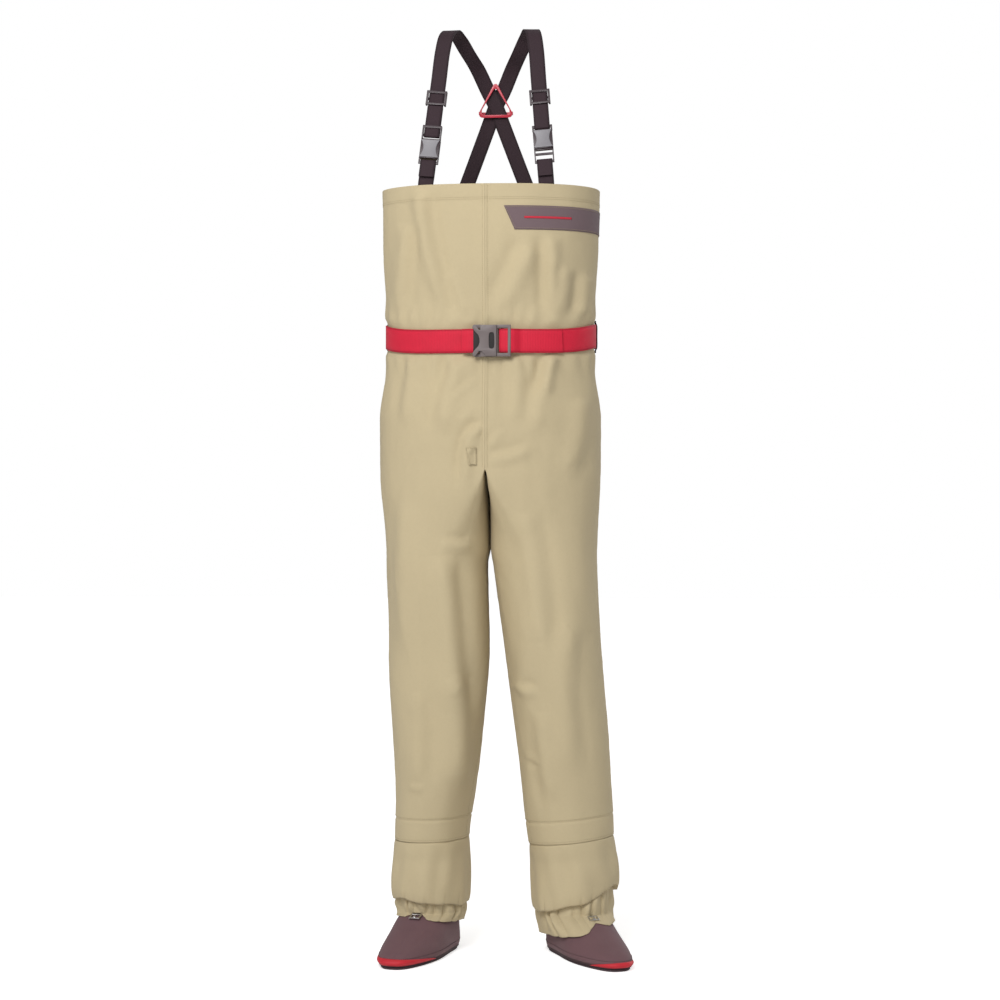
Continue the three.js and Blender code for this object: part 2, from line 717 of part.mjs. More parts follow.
for (const { name, side } of sides) {
  const curve = new THREE.CatmullRomCurve3(suspenderCurve(side), false, "centripetal");
  const points = curve.getSpacedPoints(34);
  add(`suspender_${name}`, ribbon(points, acrossStrap(points), strapWidth, strapThickness), finish.webbing);

  // Its rear end, sewn down inside the hem on the far side.
  const tilt = suspender.rearSpread / suspender.crossingRise;
  const below = steps(-0.5, -strapSewnLength, 3).map(
    (dz) =>
      new THREE.Vector3(
        -side * (suspender.rearSpread - dz * tilt),
        bodyDepth(bibTop + dz, suspender.rearSpread - dz * tilt) - strapInset - 1.2,
        bibTop + dz,
      ),
  );
  const along = new THREE.Vector3(side, -slopeAt(bibTop, suspender.rearSpread + 12), -tilt);
  add(
    `rear_strap_end_${name}`,
    ribbon(below, below.map(() => along), strapWidth, strapThickness),
    finish.webbing,
  );
}

// A triangular ring holds the two straps together where they cross: three sides in front of the
// webbing and one bar behind it.
const ring = { height: 56, halfWidth: 29, rod: 4.4, below: 19 };
{
  const face = -strapThickness - 2.9 - gap;
  const corner = 8;
  const [wide, low, high] = [ring.halfWidth, -ring.below, ring.height - ring.below];
  const outline = (inset) => {
    const shape = new THREE.Shape();
    const w = wide - inset;
    const bottom = low + inset;
    const peak = high - inset * 1.9;
    shape.moveTo(-w + corner, bottom);
    shape.lineTo(w - corner, bottom);
    shape.quadraticCurveTo(w, bottom, w - 1.5, bottom + corner * 1.1);
    shape.lineTo(3, peak - 1);
    shape.quadraticCurveTo(0, peak + 1, -3, peak - 1);
    shape.lineTo(-w + 1.5, bottom + corner * 1.1);
    shape.quadraticCurveTo(-w, bottom, -w + corner, bottom);
    return shape;
  };
  const front = outline(0);
  front.holes.push(outline(ring.rod));
  const slab = (shape, depth) =>
    solid(new THREE.ExtrudeGeometry(shape, { depth, bevelEnabled: false, curveSegments: 4 }));
  const behind = -2 * face + 1.5;
  const triangle = slab(front, 2.6);
  const posts = [-1, 1].map((s) =>
    box(
      Math.min(s * (wide - 4), s * (wide - 0.8)), Math.max(s * (wide - 4), s * (wide - 0.8)),
      low + 5, low + 10, -behind, 2,
    ),
  );
  const backBar = box(-wide + 1, wide - 1, low + 5, low + 10, -behind, -behind + 2.2);
  const made = geometryOf(joined(triangle, ...posts, backBar));
  // Stands it up in the plane of the rear straps, its front towards the wearer.
  const rise = new THREE.Vector3(0, -rearLean, 1).normalize();
  const across = new THREE.Vector3(1, 0, 0);
  const out = across.clone().cross(rise);
  const at = new THREE.Vector3(0, rearY(crossingZ), crossingZ).addScaledVector(out, -face);
  made.applyMatrix4(new THREE.Matrix4().makeBasis(across, rise, out).setPosition(at));
  add("cross_ring", made, finish.ring);
}

// ---------- belt buckle ----------

{
  const x = new THREE.Vector3(1, 0, 0);
  const frame = new THREE.Matrix4().makeBasis(x, up, x.clone().cross(up)).setPosition(beltPlace(0, 0));
  const put = (geometry) => geometry.applyMatrix4(frame);
  add("belt_socket", put(geometryOf(buckleSocket(beltBuckle))), finish.buckle);
  add("belt_plug", put(geometryOf(bucklePlug(beltBuckle, true))), finish.buckle);
  add("belt_prong_upper", put(geometryOf(buckleProng(beltBuckle, 1))), finish.buckle);
  add("belt_prong_lower", put(geometryOf(buckleProng(beltBuckle, -1))), finish.buckle);
}

// ---------- feet ----------

// Slices of the foot at a height: how far it reaches behind and ahead of the ankle's middle, and
// its half width.
const soleThickness = 4;
const footStations = [
  { z: ankleTop, back: ankle.b, ahead: ankle.b, half: ankle.a },
  { z: 92, back: 53, ahead: 54, half: 42 },
  { z: 72, back: 56, ahead: 58, half: 42.5 },
  { z: 60, back: 59, ahead: 84, half: 43 },
  { z: 48, back: 61, ahead: 114, half: 43.5 },
  { z: 34, back: 63.5, ahead: 150, half: 44 },
  { z: 20, back: 65, ahead: 182, half: 44.5 },
  { z: 11, back: 64, ahead: 191, half: 44 },
  { z: soleThickness + 0.3, back: 61, ahead: 186, half: 40 },
];

// A point round the foot: 0 degrees at the toe, 90 at the outside, 180 at the heel.
function footPoint(side, z, degrees, out = 0) {
  const { back, ahead, half } = station(footStations, z);
  const where = { ...legStations[side].at(-1) };
  const reach = Math.max(0, (ahead - back) / (ahead + back)); // 0 at the ankle, 0.5 at the sole
  const front = Math.cos(radians(degrees)) > 0;
  const [t, w] = oval(1, 1, front ? 2.1 + 1.3 * reach : 2.1, radians(degrees));
  const length = (front ? ahead : back) + out;
  const ball = 0.28 * reach * Math.sin(Math.PI * clamp01(t)) ** 2;
  const taper = front ? 1 + ball : 1 - 0.24 * reach * t * t;
  const [x, y] = legFrame(side, where, (half * taper + out) * w, length * t);
  return new THREE.Vector3(x, y, z);
}

const footColumns = 22;
const footAngles = steps(0, 360, footColumns).slice(0, -1);
for (const { name, side } of sides) {
  const rows = footStations.map((s) => s.z);
  const grid = (out) => rows.map((z) => footAngles.map((d) => footPoint(side, z, d, out)));
  add(`bootie_${name}`, wall(grid(0), grid(-neoprene), true), finish.neoprene);

  const bottom = footStations.at(-1).z;
  const sole = new THREE.Shape(
    footAngles.map((d) => {
      const p = footPoint(side, bottom, d);
      return new THREE.Vector2(p.x, p.y);
    }),
  );
  add(
    `sole_${name}`,
    new THREE.ExtrudeGeometry(sole, { depth: soleThickness, bevelEnabled: false }),
    finish.sole,
  );

  // The toe piece wraps the lower edge of the forefoot.
  const toeRows = [bottom, 8, 11, 16];
  const toeAngles = steps(-4, 4, 8).map((i) => (i * 360) / footColumns);
  const toe = (out) => toeRows.map((z) => toeAngles.map((d) => footPoint(side, z, d, out)));
  add(`toe_piece_${name}`, wall(toe(gap + 2), toe(gap), false), finish.toe);

  // A tape ring inside the ankle joins the leg's fabric to the neoprene.
  const tapeRows = [ankleTop + 11, ankleTop + 0.2, ankleTop - 11];
  const tapeAt = -neoprene - 2 * gap;
  const tape = (out) => tapeRows.map((z) => footAngles.map((d) => footPoint(side, Math.min(z, ankleTop), d, out).setZ(z)));
  add(`ankle_tape_${name}`, wall(tape(tapeAt), tape(tapeAt - tapeThickness), true), finish.tape);
}

// ---------- gravel guards ----------

const cuff = {
  a: { [-1]: 51.5, [1]: 57 }, b: { [-1]: 67, [1]: 66 },
  top: 98, bottom: 59, tilt: 11, // the cuff's front is higher than its back by twice the tilt
};
const guardBlouse = 88; // lowest edge of the guard's loose cloth, at the sides

for (const { name, side } of sides) {
  const angles = steps(0, 360, 24).slice(0, -1);
  const seam = station(legStations[side], guardSeam);
  const shares = steps(0, 1, legColumns).slice(0, -1);
  const guardRows = [
    { z: guardSeam + 3, grow: gap + fabric + 0.3, tilt: 0 },
    { z: guardSeam, grow: gap + fabric + 0.3, tilt: 0 },
    { z: guardSeam - 30, grow: 3, tilt: 0.2 },
    { z: guardBlouse + 22, grow: 5, tilt: 0.6 },
    { z: guardBlouse + 6, grow: 4, tilt: 1 },
    { z: guardBlouse, grow: 0.5, tilt: 1 },
  ];
  const guard = (out) =>
    guardRows.map(({ z, grow, tilt }) => {
      if (z >= guardSeam) return shares.map((u) => legPoint(side, z, u, grow + out));
      const middle = { ...station(legStations[side], z), turn: seam.turn };
      return shares.map((u) => {
        const [a, b] = [seam.a + grow + out, seam.b + grow + out];
        const [across, behind] = oval(a, b, legPower, radians(roundAngle(u)));
        const [x, y] = legFrame(side, middle, across, -behind);
        return new THREE.Vector3(x, y, z - (tilt * cuff.tilt * 0.6 * behind) / seam.b);
      });
    });
  add(`gravel_guard_${name}`, wall(guard(0), guard(-fabric), true), finish.shell);

  const ankleMiddle = legStations[side].at(-1);
  const cuffRing = (rows, out) =>
    rows.map((z) =>
      angles.map((d) => {
        const [ahead, across] = oval(cuff.b[side] + out, cuff.a[side] + out, 2, radians(d));
        const [x, y] = legFrame(side, ankleMiddle, across, ahead);
        return new THREE.Vector3(x, y, z + cuff.tilt * Math.cos(radians(d)));
      }),
    );
  const cuffRows = [cuff.top, (cuff.top + cuff.bottom) / 2, cuff.bottom];
  add(`cuff_${name}`, wall(cuffRing(cuffRows, 0), cuffRing(cuffRows, -fabric), true), finish.shell);
  const elasticRows = [cuff.bottom + 14, cuff.bottom + 5];
  add(
    `hem_elastic_${name}`,
    wall(cuffRing(elasticRows, -fabric - gap), cuffRing(elasticRows, -fabric - gap - 1), true),
    finish.elastic,
  );

  // A ribbon tab on the cuff's front carries the lace hook, which lies on the instep.
  const turn = radians(ankleMiddle.turn);
  const ahead = new THREE.Vector3(side * Math.sin(turn), -Math.cos(turn), 0);
  const across = new THREE.Vector3(side * Math.cos(turn), Math.sin(turn), 0);
  const front = new THREE.Vector3(side * ankleMiddle.x, ankleMiddle.y, 0);
  const put = (geometry) =>
    geometry.applyMatrix4(new THREE.Matrix4().makeBasis(across, ahead, up).setPosition(front));
  const tabFace = cuff.b[side] + gap;
  const hookZ = cuff.bottom + cuff.tilt - 1.5;
  const tab = box(-6, 6, tabFace, tabFace + 1, hookZ + 2, hookZ + 17);
  add(`hook_tab_${name}`, flipped(put(geometryOf(tab)), side), finish.webbing);
  const hookLength = 15;
  const hook = joined(
    cutBy(
      box(-9, 9, 0, hookLength, -1, 1),
      box(-6.4, 6.4, 2.6, hookLength - 3, -3, 3),
    ),
    box(-2, 2, hookLength - 6, hookLength - 1, -1, 2.6),
  );
  const tilted = geometryOf(hook).rotateX(radians(-18)).translate(0, tabFace + 2.2, hookZ);
  add(`lace_hook_${name}`, flipped(put(tilted), side), finish.hook);
}

// Turns the faces round where the frame they were placed in was a mirrored one.
function flipped(geometry, side) {
  if (side < 0) return geometry;
  const index = geometry.index.array;
  for (let i = 0; i < index.length; i += 3)
    [index[i + 1], index[i + 2]] = [index[i + 2], index[i + 1]];
  return geometry;
}

// A small patch covers the foot of the front centre seam, on the wearer's right of it.
{
  const rows = [crotchHeight + 34, crotchHeight + 6];
  const grid = (out) =>
    rows.map((z, i) =>
      [-30 + 6 * i, -13].map((x) => new THREE.Vector3(x, -bodyDepth(z, x) - out - 0.9, z)),
    );
  add("crotch_patch", wall(grid(gap + 0.8), grid(gap), false), finish.patch);
}

const bounds = new THREE.Box3().setFromObject(waders);
const middle = bounds.getCenter(new THREE.Vector3());
waders.position.set(-middle.x, -middle.y, -bounds.min.z);

export default waders;
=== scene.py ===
"""Chest waders with stocking feet, as they stand when worn.

Metres, +Z up. The wearer faces -Y and the wearer's right is -X.
"""

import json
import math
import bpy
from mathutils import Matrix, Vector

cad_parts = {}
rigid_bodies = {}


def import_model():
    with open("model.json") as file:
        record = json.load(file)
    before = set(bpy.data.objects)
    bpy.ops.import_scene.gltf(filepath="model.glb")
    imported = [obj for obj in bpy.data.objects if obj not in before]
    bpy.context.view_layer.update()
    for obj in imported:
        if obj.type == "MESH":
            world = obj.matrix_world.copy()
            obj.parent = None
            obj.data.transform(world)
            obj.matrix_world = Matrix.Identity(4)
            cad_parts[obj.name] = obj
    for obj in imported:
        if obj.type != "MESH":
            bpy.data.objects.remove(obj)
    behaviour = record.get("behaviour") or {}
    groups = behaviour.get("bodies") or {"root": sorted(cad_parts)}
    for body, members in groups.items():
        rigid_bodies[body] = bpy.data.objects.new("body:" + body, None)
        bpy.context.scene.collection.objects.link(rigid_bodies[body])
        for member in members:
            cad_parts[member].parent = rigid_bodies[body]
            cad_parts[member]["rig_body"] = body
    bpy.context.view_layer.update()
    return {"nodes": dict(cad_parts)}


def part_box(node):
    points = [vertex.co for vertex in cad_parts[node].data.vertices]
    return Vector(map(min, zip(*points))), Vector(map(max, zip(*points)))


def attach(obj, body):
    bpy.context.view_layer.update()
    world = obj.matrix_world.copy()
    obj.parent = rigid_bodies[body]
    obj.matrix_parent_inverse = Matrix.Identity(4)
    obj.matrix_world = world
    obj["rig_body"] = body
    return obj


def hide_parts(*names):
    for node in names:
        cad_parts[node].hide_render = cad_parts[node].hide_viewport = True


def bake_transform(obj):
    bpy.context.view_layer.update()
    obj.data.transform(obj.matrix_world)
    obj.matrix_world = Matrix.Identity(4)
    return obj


bl_info = {
    "name": "Chest Waders",
    "version": (1, 0, 0),
    "blender": (4, 5, 0),
    "location": "View3D > Sidebar > Waders",
    "description": "Builds a pair of stocking-foot chest waders round their measured frame",
    "category": "Add Mesh",
}

import bmesh
import bpy
import numpy as np
from mathutils import Vector

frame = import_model()

# ---------------------------------------------------------------- measured shape

# The body's own middle plane, in the frame's coordinates.
_hem_low, _hem_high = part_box("bib_hem")
BODY_X = (_hem_low.x + _hem_high.x) / 2
BODY_Y = (_hem_low.y + _hem_high.y) / 2

BIB_TOP = 1.239
BELT_Z = 1.004
CROTCH_Z = 0.787
GUARD_SEAM = 0.176
ANKLE_TOP = 0.112
CUFF_TILT = 0.009
CUFF_BOTTOM = {-1: 0.054, 1: 0.043}
GUARD_LEAN = {-1: 0.003, 1: 0.010}  # how much higher the cuffs ride at their outer side
BODY_POWER, LEG_POWER = 2.4, 2.15
# Each side's round is cut at the top of the inside leg: shares of it outside and inside.
INNER_SHARE = 0.3
OUTER_SHARE = 1 - INNER_SHARE
INSIDE_LEG = 1 - INNER_SHARE / 2
MIDDLE_GAP = 0.0009
BELT_WIDTH, BELT_THICKNESS, BELT_DIP = 0.038, 0.002, 0.014
STRAP_WIDTH, STRAP_THICKNESS = 0.025, 0.0016
GAP = 0.0004
MIDDLE_STITCH = 0.0044  # from the middle seam to the stitching beside it
TAPE_WALL = 0.0003
SIDES = {"right": -1, "left": 1}


def between(a, b, t):
    return a + (b - a) * t


THIGH_Z = between(GUARD_SEAM, CROTCH_Z, 0.76)
KNEE_Z = between(GUARD_SEAM, CROTCH_Z, 0.525)
CALF_Z = between(GUARD_SEAM, CROTCH_Z, 0.27)
SHIN_Z = GUARD_SEAM + 0.036

# Height, half width, half depth.
BODY = [
    (1.239, 0.177, 0.118),
    (between(BELT_Z, BIB_TOP, 0.55), 0.175, 0.116),
    (BELT_Z + 0.024, 0.169, 0.108),
    (BELT_Z - 0.038, 0.169, 0.108),
    (between(CROTCH_Z, BELT_Z - 0.038, 0.45), 0.181, 0.120),
    (CROTCH_Z, 0.181, 0.117),
]
# Height, middle x, middle y, half width, half depth, turn in degrees.
LEGS = {
    -1: [
        (THIGH_Z, 0.088, 0.0, 0.084, 0.100, 0),
        (KNEE_Z, 0.0845, -0.002, 0.083, 0.090, 0),
        (CALF_Z, 0.088, 0.008, 0.0725, 0.083, 5),
        (SHIN_Z, 0.097, 0.019, 0.059, 0.078, 13.8),
        (GUARD_SEAM, 0.099, 0.021, 0.0575, 0.076, 13.8),
        (GUARD_SEAM - 0.026, 0.100, 0.024, 0.046, 0.058, 13.8),
        (ANKLE_TOP, 0.100, 0.024, 0.042, 0.051, 13.8),
    ],
    1: [
        (THIGH_Z, 0.0885, 0.0, 0.086, 0.098, 0),
        (KNEE_Z, 0.102, -0.002, 0.0785, 0.093, 4),
        (CALF_Z, 0.1165, 0.008, 0.075, 0.081, 12),
        (SHIN_Z, 0.128, 0.019, 0.070, 0.070, 25.2),
        (GUARD_SEAM, 0.131, 0.021, 0.067, 0.070, 25.2),
        (GUARD_SEAM - 0.026, 0.134, 0.024, 0.047, 0.058, 25.2),
        (ANKLE_TOP, 0.136, 0.024, 0.042, 0.051, 25.2),
    ],
}
# Height, reach behind and ahead of the ankle's middle, half width.
FOOT = [
    (0.112, 0.051, 0.051, 0.042),
    (0.092, 0.053, 0.054, 0.042),
    (0.072, 0.056, 0.058, 0.0425),
    (0.060, 0.059, 0.084, 0.043),
    (0.048, 0.061, 0.114, 0.0435),
    (0.034, 0.0635, 0.150, 0.044),
    (0.020, 0.065, 0.182, 0.0445),
    (0.011, 0.064, 0.191, 0.044),
    (0.0043, 0.061, 0.186, 0.040),
]
SHIN_SEAM, GUARD_TOP = 0.221, 0.185  # the two seams of the doubled shin band
SEAM_TILT = {-1: -0.02, 1: 0.11}  # how steeply the shin seams rise outwards


def unit(v):
    return v / np.linalg.norm(v)


def smooth(t):
    t = np.clip(t, 0.0, 1.0)
    return t * t * (3 - 2 * t)


def bell(x, width):
    return np.exp(-((x / width) ** 2))


def read(table, z):
    """Every column of a table of heights, read off smoothly at heights z."""
    rows = np.array(sorted(table), float)
    h = rows[:, 0]
    z = np.clip(z, h[0], h[-1])
    step = np.diff(h)
    i = np.clip(np.searchsorted(h, z, side="right") - 1, 0, len(h) - 2)
    t = (z - h[i]) / step[i]
    found = []
    for column in rows[:, 1:].T:
        slope = np.diff(column) / step
        tangent = np.zeros(len(h))
        same = slope[1:] * slope[:-1] > 0
        tangent[1:-1][same] = 2 / (1 / slope[1:][same] + 1 / slope[:-1][same])
        tangent[0], tangent[-1] = slope[0], slope[-1]
        a, b = column[i], column[i + 1]
        ta, tb = tangent[i] * step[i], tangent[i + 1] * step[i]
        found.append(
            (2 * t**3 - 3 * t**2 + 1) * a
            + (t**3 - 2 * t**2 + t) * ta
            + (3 * t**2 - 2 * t**3) * b
            + (t**3 - t**2) * tb
        )
    return found


def oval(a, b, power, angle):
    c, s = np.cos(angle), np.sin(angle)
    return a * np.sign(c) * np.abs(c) ** (2 / power), b * np.sign(s) * np.abs(s) ** (2 / power)


def body_point(side, z, degrees, out=0.0):
    """On one side of the body, from -90 degrees in front to 90 at the back."""
    a, b = read(BODY, z)
    x, y = oval(a + out, b + out, BODY_POWER, np.radians(degrees))
    return np.stack([side * np.abs(x), y, z + 0 * x], -1)


def body_depth(z, x):
    a, b = read(BODY, np.asarray(z, float))
    return b * (1 - (np.abs(x) / a) ** BODY_POWER) ** (1 / BODY_POWER)


def angle_at(z, x):
    a, _ = read(BODY, np.asarray(z, float))
    return math.degrees(math.acos((abs(x) / float(a)) ** (BODY_POWER / 2)))


def degrees_at(u):
    """The angle of body_point at a share u of a side's round."""
    return -90 + 180 * np.minimum(u, OUTER_SHARE) / OUTER_SHARE


def leg_frame(side, x, y, turn, across, ahead):
    t = np.radians(turn)
    return (
        side * (x + across * np.cos(t) + ahead * np.sin(t)),
        y + across * np.sin(t) - ahead * np.cos(t),
    )


def leg_point(side, z, u):
    """Round one leg: u runs from the front of the crotch, outside, to its back, then inside."""
    x0, y0, a, b, turn = read(LEGS[side], z)
    across, behind = oval(a, b, LEG_POWER, np.radians(360 * u - 180 * OUTER_SHARE))
    x, y = leg_frame(side, x0, y0, turn, across, -behind)
    rounded = smooth((CROTCH_Z - z) / (CROTCH_Z - THIGH_Z))
    top = body_point(side, np.full(z.shape, CROTCH_Z), degrees_at(u))
    back = np.clip((u - OUTER_SHARE) / INNER_SHARE, 0, 1)
    top_y = between(top[..., 1], -top[..., 1], back)
    top_x = side * np.maximum(np.abs(top[..., 0]), MIDDLE_GAP)
    # The corner between the front or back and the inside of the thigh grows rounder downwards.
    radius = np.clip(0.45 * (CROTCH_Z - z), 1e-5, 0.045)
    from_middle = np.clip(radius - (np.abs(top_x) - MIDDLE_GAP), 0, radius)
    depth = BODY[-1][2]
    from_face = np.clip(radius - (depth - np.abs(top_y)), 0, radius)
    corner = (from_middle > 0) & (from_face > 0)
    pull = radius / np.maximum(np.hypot(from_middle, from_face), 1e-9)
    top_x = np.where(corner, side * (MIDDLE_GAP + radius - from_middle * pull), top_x)
    top_y = np.where(corner, np.sign(top_y) * (depth - radius + from_face * pull), top_y)
    x, y = between(top_x, x, rounded), between(top_y, y, rounded)
    return np.stack([side * np.maximum(side * x, MIDDLE_GAP), y, z], -1)


def bare_shell(side, z, u):
    z, u = np.broadcast_arrays(np.asarray(z, float), np.asarray(u, float))
    bib = body_point(side, np.maximum(z, CROTCH_Z), degrees_at(u))
    leg = leg_point(side, np.minimum(z, CROTCH_Z), u % 1.0 if np.ndim(u) else u)
    return np.where((z >= CROTCH_Z)[..., None], bib, leg)


# ---------------------------------------------------------------- folds of the cloth


def creases(p, wavelength, upright, seed, count=6):
    """A field of soft ridges between -1 and 1. upright above 1 draws them out up and down."""
    random = np.random.RandomState(seed)
    q = p * np.array([1, 1, 1 / upright]) / wavelength
    total = np.zeros(q.shape[:-1])
    for _ in range(count):
        way = random.normal(size=3)
        way /= np.linalg.norm(way)
        bend = random.normal(size=3)
        warp = 0.55 * np.sin(q @ bend * 1.7 + random.uniform(0, 6.3))
        phase = q @ way * random.uniform(2.2, 4.2) + warp * 2 + random.uniform(0, 6.3)
        total += 1 - 2 * np.abs(np.sin(phase)) ** 1.3
    return total / count


# Single folds. Each runs through three points (x, z), then come its half width, its height, the
# side on which the cloth dips beside it, and -1 for the front or 1 for the back.
FOLDS = [
    ((-0.104, 1.236), (-0.093, 1.134), (-0.056, 1.030), 0.013, 0.0080, 1, -1),
    ((-0.128, 1.180), (-0.136, 1.110), (-0.143, 1.030), 0.013, 0.0064, 1, -1),
    ((-0.060, 1.100), (-0.040, 1.060), (-0.024, 1.030), 0.011, 0.0039, -1, -1),
    ((0.104, 1.160), (0.107, 1.095), (0.106, 1.030), 0.012, 0.0083, -1, -1),
    ((0.076, 1.140), (0.050, 1.090), (0.026, 1.034), 0.016, 0.0071, -1, -1),
    ((0.128, 1.110), (0.124, 1.070), (0.120, 1.034), 0.010, 0.0046, -1, -1),
    ((0.158, 1.100), (0.155, 1.060), (0.150, 1.030), 0.010, 0.0051, -1, -1),
    ((-0.036, 0.962), (-0.060, 0.900), (-0.064, 0.836), 0.016, 0.0069, -1, -1),
    ((-0.116, 0.964), (-0.122, 0.920), (-0.130, 0.850), 0.013, 0.0051, -1, -1),
    ((-0.018, 0.926), (-0.034, 0.913), (-0.052, 0.894), 0.005, 0.0028, -1, -1),
    ((-0.014, 0.888), (-0.026, 0.876), (-0.036, 0.862), 0.005, 0.0021, -1, -1),
    ((-0.004, 0.846), (-0.026, 0.826), (-0.030, 0.748), 0.009, 0.0080, -1, -1),
    ((-0.012, 0.832), (-0.018, 0.822), (-0.024, 0.812), 0.004, 0.0025, -1, -1),
    ((0.108, 0.976), (0.099, 0.944), (0.095, 0.900), 0.010, 0.0092, -1, -1),
    ((0.093, 0.925), (0.086, 0.890), (0.082, 0.840), 0.014, 0.0048, -1, -1),
    ((0.044, 0.966), (0.050, 0.920), (0.050, 0.860), 0.014, 0.0046, -1, -1),
    ((0.150, 0.900), (0.146, 0.840), (0.124, 0.770), 0.016, 0.0055, 1, -1),
    ((0.008, 0.820), (0.018, 0.836), (0.030, 0.850), 0.006, 0.0028, 1, -1),
    ((0.008, 0.800), (0.040, 0.806), (0.078, 0.820), 0.009, 0.0037, 1, -1),
    ((-0.070, 0.672), (-0.048, 0.664), (-0.022, 0.668), 0.009, 0.0039, 1, -1),
    ((-0.070, 0.650), (-0.060, 0.520), (-0.050, 0.400), 0.018, 0.0097, 1, -1),
    ((-0.054, 0.460), (-0.048, 0.360), (-0.050, 0.270), 0.018, 0.0080, 1, -1),
    ((-0.130, 0.740), (-0.136, 0.600), (-0.126, 0.470), 0.016, 0.0048, -1, -1),
    ((-0.118, 0.430), (-0.112, 0.350), (-0.118, 0.270), 0.015, 0.0041, 1, -1),
    ((-0.128, 0.278), (-0.116, 0.274), (-0.100, 0.275), 0.005, 0.0028, 1, -1),
    ((0.060, 0.720), (0.080, 0.600), (0.084, 0.480), 0.018, 0.0057, 1, -1),
    ((0.044, 0.446), (0.056, 0.434), (0.084, 0.430), 0.009, 0.0041, 1, -1),
    ((0.132, 0.540), (0.124, 0.420), (0.140, 0.290), 0.018, 0.0057, 1, -1),
    ((0.086, 0.400), (0.092, 0.320), (0.106, 0.250), 0.014, 0.0044, -1, -1),
    ((0.062, 0.330), (0.068, 0.322), (0.084, 0.320), 0.006, 0.0023, -1, -1),
    ((-0.040, 1.024), (-0.052, 1.100), (-0.074, 1.190), 0.015, 0.0037, 1, 1),
    ((0.050, 1.024), (0.070, 1.090), (0.096, 1.170), 0.015, 0.0037, -1, 1),
    ((-0.104, 1.024), (-0.120, 1.080), (-0.140, 1.140), 0.013, 0.0030, 1, 1),
    ((0.116, 1.024), (0.124, 1.070), (0.142, 1.120), 0.013, 0.0030, -1, 1),
    ((0.006, 1.060), (0.010, 1.120), (0.004, 1.180), 0.013, 0.0020, 1, 1),
    ((-0.044, 0.966), (-0.060, 0.910), (-0.096, 0.850), 0.014, 0.0034, -1, 1),
    ((0.050, 0.966), (0.072, 0.900), (0.108, 0.850), 0.014, 0.0034, 1, 1),
    ((-0.120, 0.968), (-0.132, 0.920), (-0.136, 0.870), 0.012, 0.0028, -1, 1),
    ((0.112, 0.968), (0.128, 0.920), (0.140, 0.860), 0.012, 0.0028, 1, 1),
    ((-0.008, 0.800), (-0.060, 0.768), (-0.130, 0.760), 0.013, 0.0026, 1, 1),
    ((0.008, 0.800), (0.060, 0.772), (0.130, 0.768), 0.013, 0.0026, -1, 1),
    ((-0.012, 0.762), (-0.056, 0.716), (-0.116, 0.700), 0.012, 0.0030, 1, 1),
    ((0.012, 0.758), (0.060, 0.712), (0.118, 0.694), 0.012, 0.0030, -1, 1),
    ((-0.030, 0.540), (-0.080, 0.512), (-0.140, 0.524), 0.012, 0.0036, 1, 1),
    ((-0.030, 0.496), (-0.082, 0.470), (-0.138, 0.488), 0.012, 0.0038, 1, 1),
    ((-0.034, 0.456), (-0.080, 0.438), (-0.132, 0.452), 0.012, 0.0030, 1, 1),
    ((0.044, 0.540), (0.100, 0.508), (0.166, 0.524), 0.012, 0.0036, -1, 1),
    ((0.046, 0.492), (0.104, 0.466), (0.166, 0.486), 0.012, 0.0038, -1, 1),
    ((0.054, 0.452), (0.110, 0.434), (0.162, 0.448), 0.012, 0.0030, -1, 1),
    ((-0.070, 0.400), (-0.086, 0.330), (-0.080, 0.250), 0.015, 0.0028, 1, 1),
    ((0.104, 0.400), (0.118, 0.330), (0.112, 0.250), 0.015, 0.0028, -1, 1),
]


def fold_line(first, middle, last, count=28):
    t = np.linspace(0, 1, count)[:, None]
    bend = 2 * np.array(middle) - (np.array(first) + np.array(last)) / 2
    return (1 - t) ** 2 * first + 2 * t * (1 - t) * bend + t**2 * last


def add_folds(height, p):
    x, y, z = p[..., 0].ravel(), p[..., 1].ravel(), p[..., 2].ravel()
    flat = np.zeros(x.shape)
    for first, middle, last, width, rise, dip, face in FOLDS:
        line = fold_line(np.array(first), np.array(middle), np.array(last))
        reach = 4 * width
        near = np.where(
            (face * y > -0.02)
            & (x > line[:, 0].min() - reach) & (x < line[:, 0].max() + reach)
            & (z > line[:, 1].min() - reach) & (z < line[:, 1].max() + reach)
        )[0]
        if not len(near):
            continue
        dx = x[near, None] - line[None, :, 0]
        dz = z[near, None] - line[None, :, 1]
        at = np.argmin(dx**2 + dz**2, axis=1)
        way = np.gradient(line, axis=0)
        way /= np.linalg.norm(way, axis=1, keepdims=True)
        row = np.arange(len(near))
        off = dx[row, at] * -way[at, 1] + dz[row, at] * way[at, 0]
        over = np.abs(dx[row, at] * way[at, 0] + dz[row, at] * way[at, 1])
        share = at / (len(line) - 1)
        ends = smooth(share / 0.16 + 0.25) * smooth((1 - share) / 0.3 + 0.1) * bell(over,
                                                                                    0.8 * width)
        facing = smooth(face * y[near] / 0.04 + 0.4)
        shape = bell(off, width) - 0.6 * bell(off - dip * 1.5 * width, 0.8 * width)
        flat[near] += rise * ends * facing * shape
    return height + flat.reshape(height.shape)


def belt_height(y):
    return BELT_Z - BELT_DIP * smooth(-y / BODY[2][2])


